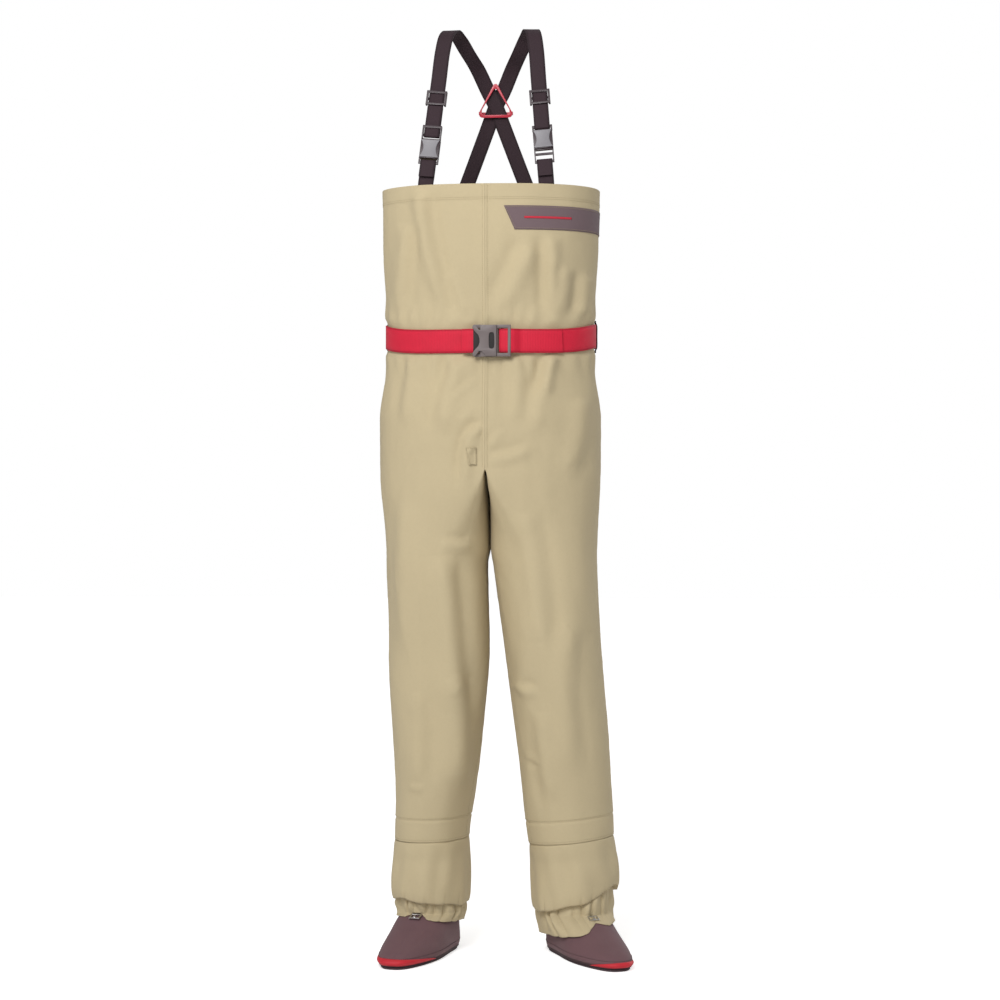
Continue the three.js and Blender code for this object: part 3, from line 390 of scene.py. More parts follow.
def fold_height(p, depth=1.0):
    """How far the cloth stands off its plain shape at points p, along its outward normal."""
    x, y, z = p[..., 0], p[..., 1], p[..., 2]
    height = 0.0028 * creases(p, 0.11, 5.0, 11)
    height += 0.0011 * creases(p, 0.055, 3.0, 12)
    height += 0.00045 * creases(p, 0.022, 1.0, 13)
    height = add_folds(height, p)
    # Gathers above and below the belt, which itself holds the cloth in.
    away = np.abs(z - belt_height(y))
    around = np.arctan2(y, x)
    gather = np.sin(around * 34 + 2.2 * np.sin(around * 5) + 1.3 * np.sin(z * 40))
    height += (0.0013 * gather + 0.0018) * bell(away - 0.034, 0.022)
    held = smooth((away - 0.0195) / 0.012)
    height = height * held - 0.0012 * (1 - held)
    # The hem is doubled over, and keeps flat.
    height *= 1 - 0.55 * smooth((z - (BIB_TOP - 0.03)) / 0.02)
    height = np.where(z > BIB_TOP - 0.0265, height + 0.0002, height)
    # The cloth lies flat where the chest strip is sewn to it.
    strip = smooth((x - 0.012) / 0.02) * smooth(-y / 0.03) * bell(z - 1.186, 0.032)
    height *= 1 - 0.75 * strip
    # The shin band is doubled, between two seams.
    height *= 1 - 0.5 * bell(z - (SHIN_SEAM + GUARD_TOP) / 2, 0.022)
    height -= 0.0013 * bell(z - SHIN_SEAM, 0.0018)
    height = np.where(z < GUARD_TOP + 0.001, np.minimum(height, 0.0) - 0.0016, height)
    # A raised seam runs down the middle, front and back, and puckers the cloth beside it.
    near = np.abs(x)
    middle = smooth((z - CROTCH_Z + 0.004) / 0.008)
    height = between(height, height * 0.5, middle * bell(near, 0.012))
    pucker = 0.00045 * np.sin(z * 2 * math.pi / 0.013) * bell(near - 0.006, 0.003)
    height += middle * (0.0010 * smooth((0.0034 - near) / 0.0014) + pucker)
    return depth * height


def shell(side, z, u, lift=0.0, depth=1.0):
    """Points of the folded cloth of one side, `lift` above it."""
    z, u = np.broadcast_arrays(np.asarray(z, float), np.asarray(u, float))
    top = np.where(z >= CROTCH_Z, OUTER_SHARE, 2.0)
    low = np.where(z >= CROTCH_Z, 0.0, -1.0)
    du, dz = 0.004, 0.003
    p = bare_shell(side, z, u)
    run = bare_shell(side, z, np.clip(u + du, low, top)) - bare_shell(side, z,
                                                                      np.clip(u - du, low, top))
    rise = bare_shell(side, np.minimum(z + dz, BIB_TOP), u) - bare_shell(side, z - dz, u)
    normal = np.cross(run, rise) * side
    normal /= np.maximum(np.linalg.norm(normal, axis=-1, keepdims=True), 1e-9)
    folded = p + normal * (fold_height(p, depth) + lift)[..., None]
    middle_x = LEGS[side][4][1] * side
    tilt = SEAM_TILT[side] * (side * (p[..., 0] - middle_x)) * bell(z - 0.20, 0.06)
    folded[..., 2] += tilt
    touch = bell(u - INSIDE_LEG, 0.075) * smooth((z - 0.632) / 0.03) * (z < CROTCH_Z)
    folded[..., 0] = between(folded[..., 0], side * MIDDLE_GAP, touch)
    folded[..., 0] = side * np.maximum(side * folded[..., 0], MIDDLE_GAP * (z < CROTCH_Z) + 1e-5)
    return folded


def share_at(z, x):
    """The share of a side's round at which the front of the body is x from the middle."""
    return (90 - angle_at(z, x)) / 180 * OUTER_SHARE


def place(points):
    """From the body's own middle into the frame."""
    return np.asarray(points) + np.array([BODY_X, BODY_Y, 0.0])


# ---------------------------------------------------------------- mesh making


def add_object(name, data):
    made = bpy.data.objects.new(name, data)
    bpy.context.scene.collection.objects.link(made)
    return made


def mend(mesh, merge=0.0):
    """Merges points closer than merge, and turns the faces of closed shapes outwards."""
    work = bmesh.new()
    work.from_mesh(mesh)
    if merge:
        bmesh.ops.remove_doubles(work, verts=work.verts, dist=merge)
    bmesh.ops.recalc_face_normals(work, faces=work.faces)
    work.to_mesh(mesh)
    work.free()


def run_length(points):
    """The distance along a line of points, from its first to each."""
    return np.concatenate([[0], np.cumsum(np.linalg.norm(np.diff(points, axis=0), axis=1))])


def rectangle(x0, x1, z0, z1):
    return [(x0, z0), (x1, z0), (x1, z1), (x0, z1)]


def new_object(name, points, faces, uvs=None):
    mesh = bpy.data.meshes.new(name)
    mesh.from_pydata([tuple(map(float, p)) for p in points], [], faces)
    if uvs is not None:
        layer = mesh.uv_layers.new(name="UVMap")
        loops = np.empty(len(mesh.loops), int)
        mesh.loops.foreach_get("vertex_index", loops)
        layer.data.foreach_set("uv", np.asarray(uvs, np.float32)[loops].ravel())
    mesh.validate()
    return add_object(name, mesh)


def grid_faces(rows, columns, wrapped):
    last = columns if wrapped else columns - 1
    return [
        (r * columns + c, r * columns + (c + 1) % columns,
         (r + 1) * columns + (c + 1) % columns, (r + 1) * columns + c)
        for r in range(rows - 1)
        for c in range(last)
    ]


def grid_uvs(points):
    along = np.zeros(points.shape[:2])
    along[:, 1:] = np.cumsum(np.linalg.norm(np.diff(points, axis=1), axis=-1), axis=1)
    down = np.zeros(points.shape[:2])
    down[1:] = np.cumsum(np.linalg.norm(np.diff(points, axis=0), axis=-1), axis=0)
    return np.stack([along, down.mean(axis=1, keepdims=True) + 0 * along], -1).reshape(-1, 2)


def grid(name, points, wrapped=False):
    """A sheet over a grid of points."""
    rows, columns = points.shape[:2]
    faces = grid_faces(rows, columns, wrapped)
    return new_object(name, points.reshape(-1, 3), faces, grid_uvs(points))


def face_away(made, axis=(BODY_X, BODY_Y)):
    """Turns the faces so that they look away from an upright axis."""
    work = bmesh.new()
    work.from_mesh(made.data)
    bmesh.ops.remove_doubles(work, verts=work.verts, dist=1e-6)
    work.normal_update()
    ax, ay = axis
    total = 0.0
    for f in work.faces:
        c = f.calc_center_median()
        total += f.calc_area() * (f.normal.x * (c.x - ax) + f.normal.y * (c.y - ay))
    if total < 0:
        bmesh.ops.reverse_faces(work, faces=work.faces)
    work.to_mesh(made.data)
    work.free()


def settle(made):
    """Leaves the mesh that the modifiers make, with no modifier."""
    graph = bpy.context.evaluated_depsgraph_get()
    graph.update()
    mesh = bpy.data.meshes.new_from_object(made.evaluated_get(graph))
    made.modifiers.clear()
    made.data = mesh
    return made


def thicken(made, thickness):
    wall = made.modifiers.new("wall", "SOLIDIFY")
    wall.thickness = thickness
    wall.offset = -1.0
    wall.use_even_offset = False
    return settle(made)


def shade(made, material, angle=None):
    made.data.materials.clear()
    made.data.materials.append(material)
    made.data.shade_smooth()
    if angle:
        made.data.set_sharp_from_angle(angle=math.radians(angle))
    return made


def curve_through(points, spacing):
    """Evenly spaced points on a smooth curve through points."""
    p = np.asarray(points, float)
    p = np.vstack([2 * p[0] - p[1], p, 2 * p[-1] - p[-2]])
    fine = []
    for a, b, c, d in zip(p, p[1:], p[2:], p[3:]):
        knots = [0.0]
        for e, f in ((a, b), (b, c), (c, d)):
            knots.append(knots[-1] + max(np.linalg.norm(f - e), 1e-9) ** 0.5)
        t0, t1, t2, t3 = knots
        for t in np.linspace(t1, t2, 24, endpoint=False):
            a1 = (t1 - t) / (t1 - t0) * a + (t - t0) / (t1 - t0) * b
            a2 = (t2 - t) / (t2 - t1) * b + (t - t1) / (t2 - t1) * c
            a3 = (t3 - t) / (t3 - t2) * c + (t - t2) / (t3 - t2) * d
            b1 = (t2 - t) / (t2 - t0) * a1 + (t - t0) / (t2 - t0) * a2
            b2 = (t3 - t) / (t3 - t1) * a2 + (t - t1) / (t3 - t1) * a3
            fine.append((t2 - t) / (t2 - t1) * b1 + (t - t1) / (t2 - t1) * b2)
    fine.append(p[-2])
    fine = np.array(fine)
    length = run_length(fine)
    count = max(3, int(round(length[-1] / spacing)) + 1)
    at = np.linspace(0, length[-1], count)
    return np.stack([np.interp(at, length, fine[:, k]) for k in range(3)], -1)


def strap(name, path, across, width, thickness, material, spacing=0.003):
    """Flat webbing with rounded edges. across gives the direction of its width along the path."""
    path = np.asarray(path, float)
    across = np.asarray(across, float)
    if across.ndim == 1:
        across = np.tile(across, (len(path), 1))
    old = run_length(path)
    centre = curve_through(path, spacing)
    new = run_length(centre)
    at = new / new[-1] * old[-1]
    side = np.stack([np.interp(at, old, across[:, k]) for k in range(3)], -1)
    tangent = np.gradient(centre, axis=0)
    tangent /= np.linalg.norm(tangent, axis=1, keepdims=True)
    side -= tangent * np.sum(side * tangent, axis=1, keepdims=True)
    side /= np.linalg.norm(side, axis=1, keepdims=True)
    normal = np.cross(tangent, side)
    w, t = width / 2, thickness / 2
    flat, edge = w - t * 0.5, w - t * 0.1
    profile = [
        (-flat, t), (-w / 2, t), (0, t), (w / 2, t), (flat, t), (edge, t * 0.6), (w, 0),
        (edge, -t * 0.6), (flat, -t), (w / 2, -t), (0, -t), (-w / 2, -t), (-flat, -t),
        (-edge, -t * 0.6), (-w, 0), (-edge, t * 0.6),
    ]
    n = len(profile)
    points = np.array([c + s * a + m * b for c, s, m in zip(centre, side, normal) for a,
                       b in profile])
    uvs = np.array([(a, v) for v in new for a, b in profile])
    faces = grid_faces(len(centre), n, True)
    faces.append(tuple(range(n)))
    faces.append(tuple(reversed(range(len(points) - n, len(points)))))
    made = new_object(name, points, faces, uvs)
    mend(made.data)
    return shade(made, material, 50)


def rounded_copy(node, name, material, width, segments=2, body=None):
    """A CAD piece with its edges rounded over."""
    made = add_object(name, frame["nodes"][node].data.copy())
    work = bmesh.new()
    work.from_mesh(made.data)
    bmesh.ops.remove_doubles(work, verts=work.verts, dist=1e-5)
    bmesh.ops.dissolve_limit(
        work, angle_limit=math.radians(2), verts=work.verts, edges=work.edges
    )
    work.to_mesh(made.data)
    work.free()
    bevel = made.modifiers.new("edges", "BEVEL")
    bevel.width = width
    bevel.segments = segments
    bevel.limit_method = "ANGLE"
    bevel.angle_limit = math.radians(28)
    bevel.use_clamp_overlap = True
    settle(made)
    shade(made, material, 40)
    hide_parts(node)
    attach(made, body or frame["nodes"][node]["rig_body"])
    return made


# ---------------------------------------------------------------- shader maths


class Value:
    """A number in a shader. Sums and products with it add Math nodes."""

    def __init__(self, tree, socket):
        self.tree, self.socket = tree, socket

    def _math(self, operation, *others, swap=False):
        node = self.tree.nodes.new("ShaderNodeMath")
        node.operation = operation
        inputs = [self, *others]
        if swap:
            inputs.reverse()
        for socket, value in zip(node.inputs, inputs):
            if isinstance(value, Value):
                self.tree.links.new(value.socket, socket)
            else:
                socket.default_value = value
        return Value(self.tree, node.outputs[0])

    def __add__(self, other):
        return self._math("ADD", other)

    def __sub__(self, other):
        return self._math("SUBTRACT", other)

    def __rsub__(self, other):
        return self._math("SUBTRACT", other, swap=True)

    def __mul__(self, other):
        return self._math("MULTIPLY", other)

    __radd__, __rmul__ = __add__, __mul__

    def sine(self):
        return self._math("SINE")

    def size(self):
        return self._math("ABSOLUTE")

    def above(self, edge):
        return self._math("GREATER_THAN", edge)


class Finish:
    """A material with a Principled shader, built node by node."""

    def __init__(self, name, roughness, **constants):
        self.material = bpy.data.materials.new(name)
        self.material.use_nodes = True
        self.tree = self.material.node_tree
        self.shader = self.tree.nodes["Principled BSDF"]
        self.set("Roughness", roughness)
        for key, value in constants.items():
            self.set(key.replace("_", " "), value)

    def set(self, socket, value):
        if isinstance(value, Value):
            self.tree.links.new(value.socket, self.shader.inputs[socket])
        else:
            self.shader.inputs[socket].default_value = value

    def add_node(self, kind, settings=(), inputs=()):
        made = self.tree.nodes.new(kind)
        for key, value in dict(settings).items():
            setattr(made, key, value)
        for key, value in dict(inputs).items():
            if isinstance(value, Value):
                self.tree.links.new(value.socket, made.inputs[key])
            else:
                made.inputs[key].default_value = value
        return made

    def node(self, kind, settings=(), inputs=(), output=0):
        return Value(self.tree, self.add_node(kind, settings, inputs).outputs[output])

    def coordinates(self, kind="Object"):
        return self.node("ShaderNodeTexCoord", output=kind)

    def split(self, vector):
        made = self.add_node("ShaderNodeSeparateXYZ", inputs={0: vector})
        return [Value(self.tree, s) for s in made.outputs]

    def noise(self, scale, detail=3.0, vector=None):
        return self.node(
            "ShaderNodeTexNoise",
            inputs={"Vector": vector or self.coordinates(), "Scale": scale, "Detail": detail},
        )

    def blend(self, factor, first, second):
        inputs = {0: factor, 6: first, 7: second}  # the colour sockets of a Mix node
        return self.node("ShaderNodeMix", {"data_type": "RGBA"}, inputs, 2)

    def bump(self, height, distance, strength=1.0):
        inputs = {"Height": height, "Distance": distance, "Strength": strength}
        self.set("Normal", self.node("ShaderNodeBump", inputs=inputs))


def paint(rgb, factor=1.0):
    return tuple(c * factor for c in rgb[:3]) + (1.0,)


def cloth_finish(name, rgb, pitch=0.0009, relief=0.00012, roughness=0.85, sheen=0.04):
    """Close plain weave, with the faint mottling of dyed cloth."""
    f = Finish(name, roughness, Sheen_Weight=sheen, Sheen_Roughness=0.5, Specular_IOR_Level=0.25)
    u, v, _ = f.split(f.coordinates("UV"))
    turn = 2 * math.pi / pitch
    weave = (u * turn).sine() * (v * turn).sine()
    slub = f.noise(900.0, 2.0)
    mottle = f.noise(9.0, 4.0)
    fleck = f.noise(240.0, 2.0)
    base = f.blend(mottle, paint(rgb, 0.93), paint(rgb, 1.06))
    base = f.blend((fleck - 0.4) * 0.35, base, paint(rgb, 0.82))
    f.set("Base Color", f.blend(weave * 0.06 + 0.06, base, paint(rgb, 0.72)))
    f.set("Roughness", mottle * 0.12 + (roughness - 0.06))
    f.bump(weave * 0.5 + slub * 0.6, relief, 0.6)
    return f.material


def webbing_finish(name, rgb, width, rib=0.0022, roughness=0.7):
    """Woven tape: ribs across it, fine cords along it and a tighter edge."""
    f = Finish(name, roughness, Sheen_Weight=0.02, Specular_IOR_Level=0.25)
    u, v, _ = f.split(f.coordinates("UV"))
    cord = (u * (2 * math.pi / 0.0016)).sine()
    ribs = (v * (2 * math.pi / rib) + cord * 0.9).sine()
    edge = u.size().above(width / 2 - 0.0030)
    wear = f.noise(35.0, 4.0)
    base = f.blend(wear, paint(rgb, 0.86), paint(rgb, 1.12))
    base = f.blend(ribs * 0.14 + 0.14, base, paint(rgb, 0.55))
    f.set("Base Color", f.blend(edge * 0.6, base, paint(rgb, 0.5)))
    f.set("Roughness", wear * 0.15 + (roughness - 0.08))
    f.bump(ribs * 0.5 + cord * 0.3 + (1 - edge) * 0.3, 0.00025, 0.8)
    return f.material


def plastic_finish(name, rgb, roughness=0.42, grain=0.00004):
    """Moulded plastic with a fine spark-eroded grain and rubbed patches."""
    f = Finish(name, roughness, Specular_IOR_Level=0.45)
    grainy = f.noise(2600.0, 2.0)
    rub = f.noise(60.0, 4.0)
    f.set("Base Color", f.blend(rub, paint(rgb, 0.88), paint(rgb, 1.12)))
    f.set("Roughness", rub * 0.2 + (roughness - 0.1))
    f.bump(grainy, grain, 0.6)
    return f.material


def neoprene_finish(name, rgb):
    """Foam faced with fine knitted jersey."""
    f = Finish(name, 0.78, Sheen_Weight=0.08, Sheen_Roughness=0.4, Specular_IOR_Level=0.3)
    u, v, _ = f.split(f.coordinates("UV"))
    knit = (u * (2 * math.pi / 0.0013)).sine() * (v * (2 * math.pi / 0.0017)).sine()
    mottle = f.noise(22.0, 4.0)
    speck = f.noise(700.0, 2.0)
    base = f.blend(mottle, paint(rgb, 0.88), paint(rgb, 1.12))
    f.set("Base Color", f.blend(speck * 0.4, base, paint(rgb, 1.35)))
    f.bump(knit * 0.4 + speck * 0.8, 0.00018, 0.7)
    return f.material


def metal_finish(name, rgb):
    f = Finish(name, 0.3, Metallic=1.0)
    streak = f.noise(400.0, 3.0)
    f.set("Base Color", f.blend(streak, paint(rgb, 0.8), paint(rgb, 1.15)))
    f.set("Roughness", streak * 0.25 + 0.18)
    f.bump(streak, 0.00002, 0.5)
    return f.material


# ---------------------------------------------------------------- settings


def colour(name, description, default):
    return bpy.props.FloatVectorProperty(
        name=name, description=description, subtype="COLOR", size=3, default=default, min=0, max=1
    )


def length(name, description, default):
    return bpy.props.FloatProperty(
        name=name, description=description, default=default, min=0, unit="LENGTH", precision=5
    )


class WaderSizes(bpy.types.PropertyGroup):
    cloth_wall: length("Cloth wall", "Thickness of the laminate", 0.0012)
    fold_depth: bpy.props.FloatProperty(
        name="Fold depth", description="Strength of the cloth's folds", default=1.0, min=0, max=2
    )
    row_step: length("Row step", "Height of one row of the cloth's mesh", 0.005)
    stitch_pitch: length("Stitch pitch", "Distance from stitch to stitch", 0.0034)
    stitch_length: length("Stitch length", "Length of one stitch", 0.0024)
    thread: length("Thread", "Diameter of the sewing thread", 0.0006)
    gathers: bpy.props.IntProperty(
        name="Gathers", description="Pleats round each elastic cuff", default=22, min=8, max=80
    )


class WaderColours(bpy.types.PropertyGroup):
    shell: colour("Shell", "Cloth of the bib and legs", (0.530, 0.440, 0.275))
    lining: colour("Lining", "Inside of the bib's hem", (0.45, 0.40, 0.29))
    thread: colour("Thread", "Sewing thread", (0.40, 0.33, 0.20))
    webbing: colour("Webbing", "Suspenders and loops", (0.038, 0.021, 0.027))
    belt: colour("Belt", "Belt webbing", (0.66, 0.015, 0.045))
    buckle: colour("Buckle", "Moulded buckles", (0.150, 0.122, 0.120))
    front_buckle: colour("Front buckle", "Buckles of the suspenders", (0.20, 0.19, 0.205))
    ring: colour("Ring", "Ring where the suspenders cross", (0.52, 0.022, 0.048))
    strip: colour("Strip", "Chest strip", (0.165, 0.115, 0.125))
    accent: colour("Accent", "Thread and trim on the chest strip", (0.62, 0.035, 0.060))
    bootie: colour("Bootie", "Neoprene of the feet", (0.142, 0.076, 0.085))
    sole: colour("Sole", "Underside of the feet", (0.075, 0.048, 0.055))
    toe: colour("Toe", "Trim round the toes", (0.56, 0.016, 0.030))
    tape: colour("Tape", "Seam tape inside", (0.40, 0.38, 0.32))
    elastic: colour("Elastic", "Elastic in the cuffs", (0.62, 0.60, 0.55))
    hook: colour("Hook", "Metal of the lace hooks", (0.62, 0.62, 0.64))


def sizes():
    return bpy.context.scene.wader_sizes


def colours():
    return bpy.context.scene.wader_colours


def finish(name):
    """The named material, made when it is first asked for."""
    if name in bpy.data.materials:
        return bpy.data.materials[name]
    c = colours()
    makers = {
        "shell_cloth": lambda: cloth_finish(name, c.shell),
        "lining_cloth": lambda: cloth_finish(name, c.lining, 0.0011),
        "sewing_thread": lambda: webbing_finish(name, c.thread, 1.0, 0.001),
        "accent_thread": lambda: webbing_finish(name, c.accent, 1.0, 0.001),
        "strap_webbing": lambda: webbing_finish(name, c.webbing, STRAP_WIDTH),
        "belt_webbing": lambda: webbing_finish(name, c.belt, BELT_WIDTH, 0.0026, 0.62),
        "buckle_plastic": lambda: plastic_finish(name, c.buckle),
        "front_buckle_plastic": lambda: plastic_finish(name, c.front_buckle),
        "slider_plastic": lambda: plastic_finish(name, [k * 0.9 for k in c.webbing], 0.36),
        # Near-black plastic for the plates that paint the shade in the belt buckle's openings.
        "painted_shade_plastic": lambda: plastic_finish(name, [k * 0.12 for k in c.buckle], 0.7),
        "ring_plastic": lambda: plastic_finish(name, c.ring, 0.35),
        "strip_cloth": lambda: cloth_finish(name, c.strip, 0.0012, 0.00016, 0.75),
        "bootie_neoprene": lambda: neoprene_finish(name, c.bootie),
        "seam_neoprene": lambda: neoprene_finish(name, [k * 0.35 for k in c.bootie]),
        "sole_rubber": lambda: plastic_finish(name, c.sole, 0.85, 0.0002),
        "toe_rubber": lambda: plastic_finish(name, c.toe, 0.6, 0.0001),
        "seam_tape": lambda: plastic_finish(name, c.tape, 0.55, 0.00005),
        "cuff_elastic": lambda: webbing_finish(name, c.elastic, 0.009, 0.0012, 0.85),
        "hook_metal": lambda: metal_finish(name, c.hook),
    }
    return makers[name]()


# ---------------------------------------------------------------- stitches


def stitch_tree():
    """Geometry Nodes: rounded stitches set out along every edge path of a mesh."""
    if "Stitches" in bpy.data.node_groups:
        return bpy.data.node_groups["Stitches"]
    tree = bpy.data.node_groups.new("Stitches", "GeometryNodeTree")
    face = tree.interface
    face.new_socket("Geometry", in_out="INPUT", socket_type="NodeSocketGeometry")
    for name in ("Pitch", "Length", "Thread"):
        face.new_socket(name, in_out="INPUT", socket_type="NodeSocketFloat")
    face.new_socket("Material", in_out="INPUT", socket_type="NodeSocketMaterial")
    face.new_socket("Geometry", in_out="OUTPUT", socket_type="NodeSocketGeometry")
    add, link = tree.nodes.new, tree.links.new
    start, end = add("NodeGroupInput"), add("NodeGroupOutput")
    path = add("GeometryNodeMeshToCurve")
    dots = add("GeometryNodeCurveToPoints")
    dots.mode = "LENGTH"
    turn = add("FunctionNodeAlignRotationToVector")
    turn.axis = "X"
    bead = add("GeometryNodeMeshUVSphere")
    bead.inputs["Segments"].default_value = 6
    bead.inputs["Rings"].default_value = 4
    bead.inputs["Radius"].default_value = 0.5
    size = add("ShaderNodeCombineXYZ")
    shape = add("GeometryNodeTransform")
    sewn = add("GeometryNodeInstanceOnPoints")
    real = add("GeometryNodeRealizeInstances")
    look = add("GeometryNodeSetMaterial")
    link(start.outputs["Geometry"], path.inputs["Mesh"])
    link(path.outputs["Curve"], dots.inputs["Curve"])
    link(start.outputs["Pitch"], dots.inputs["Length"])
    link(dots.outputs["Tangent"], turn.inputs["Vector"])
    link(start.outputs["Length"], size.inputs["X"])
    link(start.outputs["Thread"], size.inputs["Y"])
    link(start.outputs["Thread"], size.inputs["Z"])
    link(bead.outputs["Mesh"], shape.inputs["Geometry"])
    link(size.outputs["Vector"], shape.inputs["Scale"])
    link(dots.outputs["Points"], sewn.inputs["Points"])
    link(shape.outputs["Geometry"], sewn.inputs["Instance"])
    link(turn.outputs["Rotation"], sewn.inputs["Rotation"])
    link(sewn.outputs["Instances"], real.inputs["Geometry"])
    link(real.outputs["Geometry"], look.inputs["Geometry"])
    link(start.outputs["Material"], look.inputs["Material"])
    link(look.outputs["Geometry"], end.inputs["Geometry"])
    return tree


def stitches(name, paths, material, body, thread=None):
    points, edges = [], []
    for path in paths:
        first = len(points)
        points.extend(tuple(map(float, p)) for p in path)
        edges.extend((i, i + 1) for i in range(first, len(points) - 1))
    mesh = bpy.data.meshes.new(name)
    mesh.from_pydata(points, edges, [])
    made = add_object(name, mesh)
    tree = stitch_tree()
    sewing = made.modifiers.new("stitches", "NODES")
    sewing.node_group = tree
    s = sizes()
    thread = thread or s.thread
    wanted = {"Pitch": s.stitch_pitch, "Length": s.stitch_length, "Thread": thread,
              "Material": material}
    for item in tree.interface.items_tree:
        if item.in_out == "INPUT" and item.name in wanted:
            sewing[item.identifier] = wanted[item.name]
    settle(made)
    made.data.shade_smooth()
    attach(made, body)
    return made


# ---------------------------------------------------------------- operators


VIEW_TURN = 4.5  # degrees round from straight ahead, to the wearer's left
VIEW_DISTANCE, VIEW_HEIGHT, VIEW_ASIDE, VIEW_LENS = 3.9, 0.738, 0.0147, 86.1
FLOOR = 14.0  # half the floor's side


def add_light(name, kind, energy, way, **settings):
    """A light that shines along way."""
    data = bpy.data.lights.new(name, kind)
    data.energy = energy
    for key, value in settings.items():
        setattr(data, key, value)
    lamp = add_object(name, data)
    lamp.rotation_euler = Vector(way).to_track_quat("-Z", "Y").to_euler()
    return lamp


class WADERS_OT_stage(bpy.types.Operator):
    """Camera, soft studio light and a pale floor"""

    bl_idname = "waders.stage"
    bl_label = "Stage"
    bl_options = {"REGISTER", "UNDO"}

    def execute(self, context):
        scene = context.scene
        data = bpy.data.cameras.new("camera")
        data.lens = VIEW_LENS
        camera = add_object("camera", data)
        turn = math.radians(VIEW_TURN)
        camera.location = (
            BODY_X + VIEW_DISTANCE * math.sin(turn) + VIEW_ASIDE * math.cos(turn),
            BODY_Y - VIEW_DISTANCE * math.cos(turn) + VIEW_ASIDE * math.sin(turn),
            VIEW_HEIGHT,
        )
        camera.rotation_euler = (math.radians(90), 0, turn)
        scene.camera = camera
        scene.view_settings.view_transform = "Standard"
        world = bpy.data.worlds.new("studio")
        world.use_nodes = True
        tree = world.node_tree
        glow = tree.nodes["Background"]
        glow.inputs["Color"].default_value = (1, 1, 1, 1)
        glow.inputs["Strength"].default_value = 0.34
        backdrop = tree.nodes.new("ShaderNodeBackground")
        backdrop.inputs["Color"].default_value = (1, 1, 1, 1)
        rays = tree.nodes.new("ShaderNodeLightPath")
        mix = tree.nodes.new("ShaderNodeMixShader")
        tree.links.new(rays.outputs["Is Camera Ray"], mix.inputs[0])
        tree.links.new(glow.outputs[0], mix.inputs[1])
        tree.links.new(backdrop.outputs[0], mix.inputs[2])
        tree.links.new(mix.outputs[0], tree.nodes["World Output"].inputs["Surface"])
        scene.world = world
        add_light("key", "SUN", 0.85, (0.24, 0.72, -0.50), angle=math.radians(50))
        add_light("behind", "SUN", 0.75, (-0.55, -0.62, -0.42), angle=math.radians(40))
        high = Vector((BODY_X - 0.42, BODY_Y - 1.9, 2.15))
        panel = add_light("panel", "AREA", 27, Vector((BODY_X, BODY_Y, 0.95)) - high, size=0.9)
        panel.location = high
        corners = [(x, y, 0) for x, y in rectangle(-FLOOR, FLOOR, -FLOOR, FLOOR)]
        floor = new_object("floor", corners, [(0, 1, 2, 3)])
        plain = Finish("floor_paper", 0.9)
        plain.set("Base Color", (0.93, 0.93, 0.93, 1))
        plain.set("Specular IOR Level", 0.1)
        seen = plain.node("ShaderNodeLightPath", output="Is Camera Ray")
        plain.set("Emission Color", plain.blend(seen, (0.05, 0.05, 0.05, 1), (0.55, 0.55, 0.55, 1)))
        plain.set("Emission Strength", 1.0)
        shade(floor, plain.material)
        return {"FINISHED"}


def row_heights(step):
    """Heights of the cloth's rows, closer together at hems and seams."""
    near = [BIB_TOP - k for k in (0, 0.0012, 0.0255, 0.0265, 0.0275, 0.0285, 0.030)]
    near += [SHIN_SEAM + k for k in (-0.005, -0.003, -0.0015, 0, 0.0015, 0.003, 0.005)]
    near += [GUARD_TOP + k for k in (0, 0.0012, 0.003)]
    near += [CROTCH_Z]
    plain = np.linspace(BIB_TOP, ANKLE_TOP + 0.002, int((BIB_TOP - ANKLE_TOP) / step))
    keep = [z for z in plain if min(abs(z - n) for n in near) > 0.45 * step]
    return np.array(sorted(keep + near, reverse=True))


def round_shares():
    """Shares of the round for the outer columns, closer together at the middle seams."""
    start = [0, 0.0008, 0.0016, 0.0024, 0.0032, 0.0044, 0.0066, 0.0104, 0.016, 0.0225, 0.03]
    plain = np.linspace(0.0365, OUTER_SHARE - 0.0365, 100)
    return np.array([*start, *plain, *[OUTER_SHARE - k for k in reversed(start)]])


class WADERS_OT_shell(bpy.types.Operator):
    """The two halves of the laminate: bib and leg in one cut on each side"""

    bl_idname = "waders.shell"
    bl_label = "Bib and legs"
    bl_options = {"REGISTER", "UNDO"}

    def execute(self, context):
        s = context.scene.wader_sizes
        heights = row_heights(s.row_step)
        outer = round_shares()
        inner = np.linspace(OUTER_SHARE, 1, 42)
        for name, side in SIDES.items():
            points = place(shell(side, heights[:, None], outer[None, :], 0, s.fold_depth))
            low = heights[heights <= CROTCH_Z]
            inside = place(shell(side, low[:, None], inner[None, :], 0, s.fold_depth))
            inside[:, 0] = points[-len(low):, -1]
            inside[:, -1] = points[-len(low):, 0]
            first = grid_faces(len(heights), len(outer), False)
            count = points.shape[0] * points.shape[1]
            second = [
                tuple(count + i for i in face) for face in grid_faces(len(low), len(inner), False)
            ]
            uvs = [
                (u * 0.75, z) for part, span in ((heights, outer),
                                                 (low, inner)) for z in part for u in span
            ]
            made = new_object(
                f"shell_{name}",
                np.vstack([points.reshape(-1, 3), inside.reshape(-1, 3)]),
                first + second,
                uvs,
            )
            middle = BODY_X + side * 0.09
            face_away(made, (middle, BODY_Y))
            shade(thicken(made, s.cloth_wall), finish("shell_cloth"))
            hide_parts(f"bib_{name}", f"leg_{name}")
            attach(made, "waders")
        return {"FINISHED"}


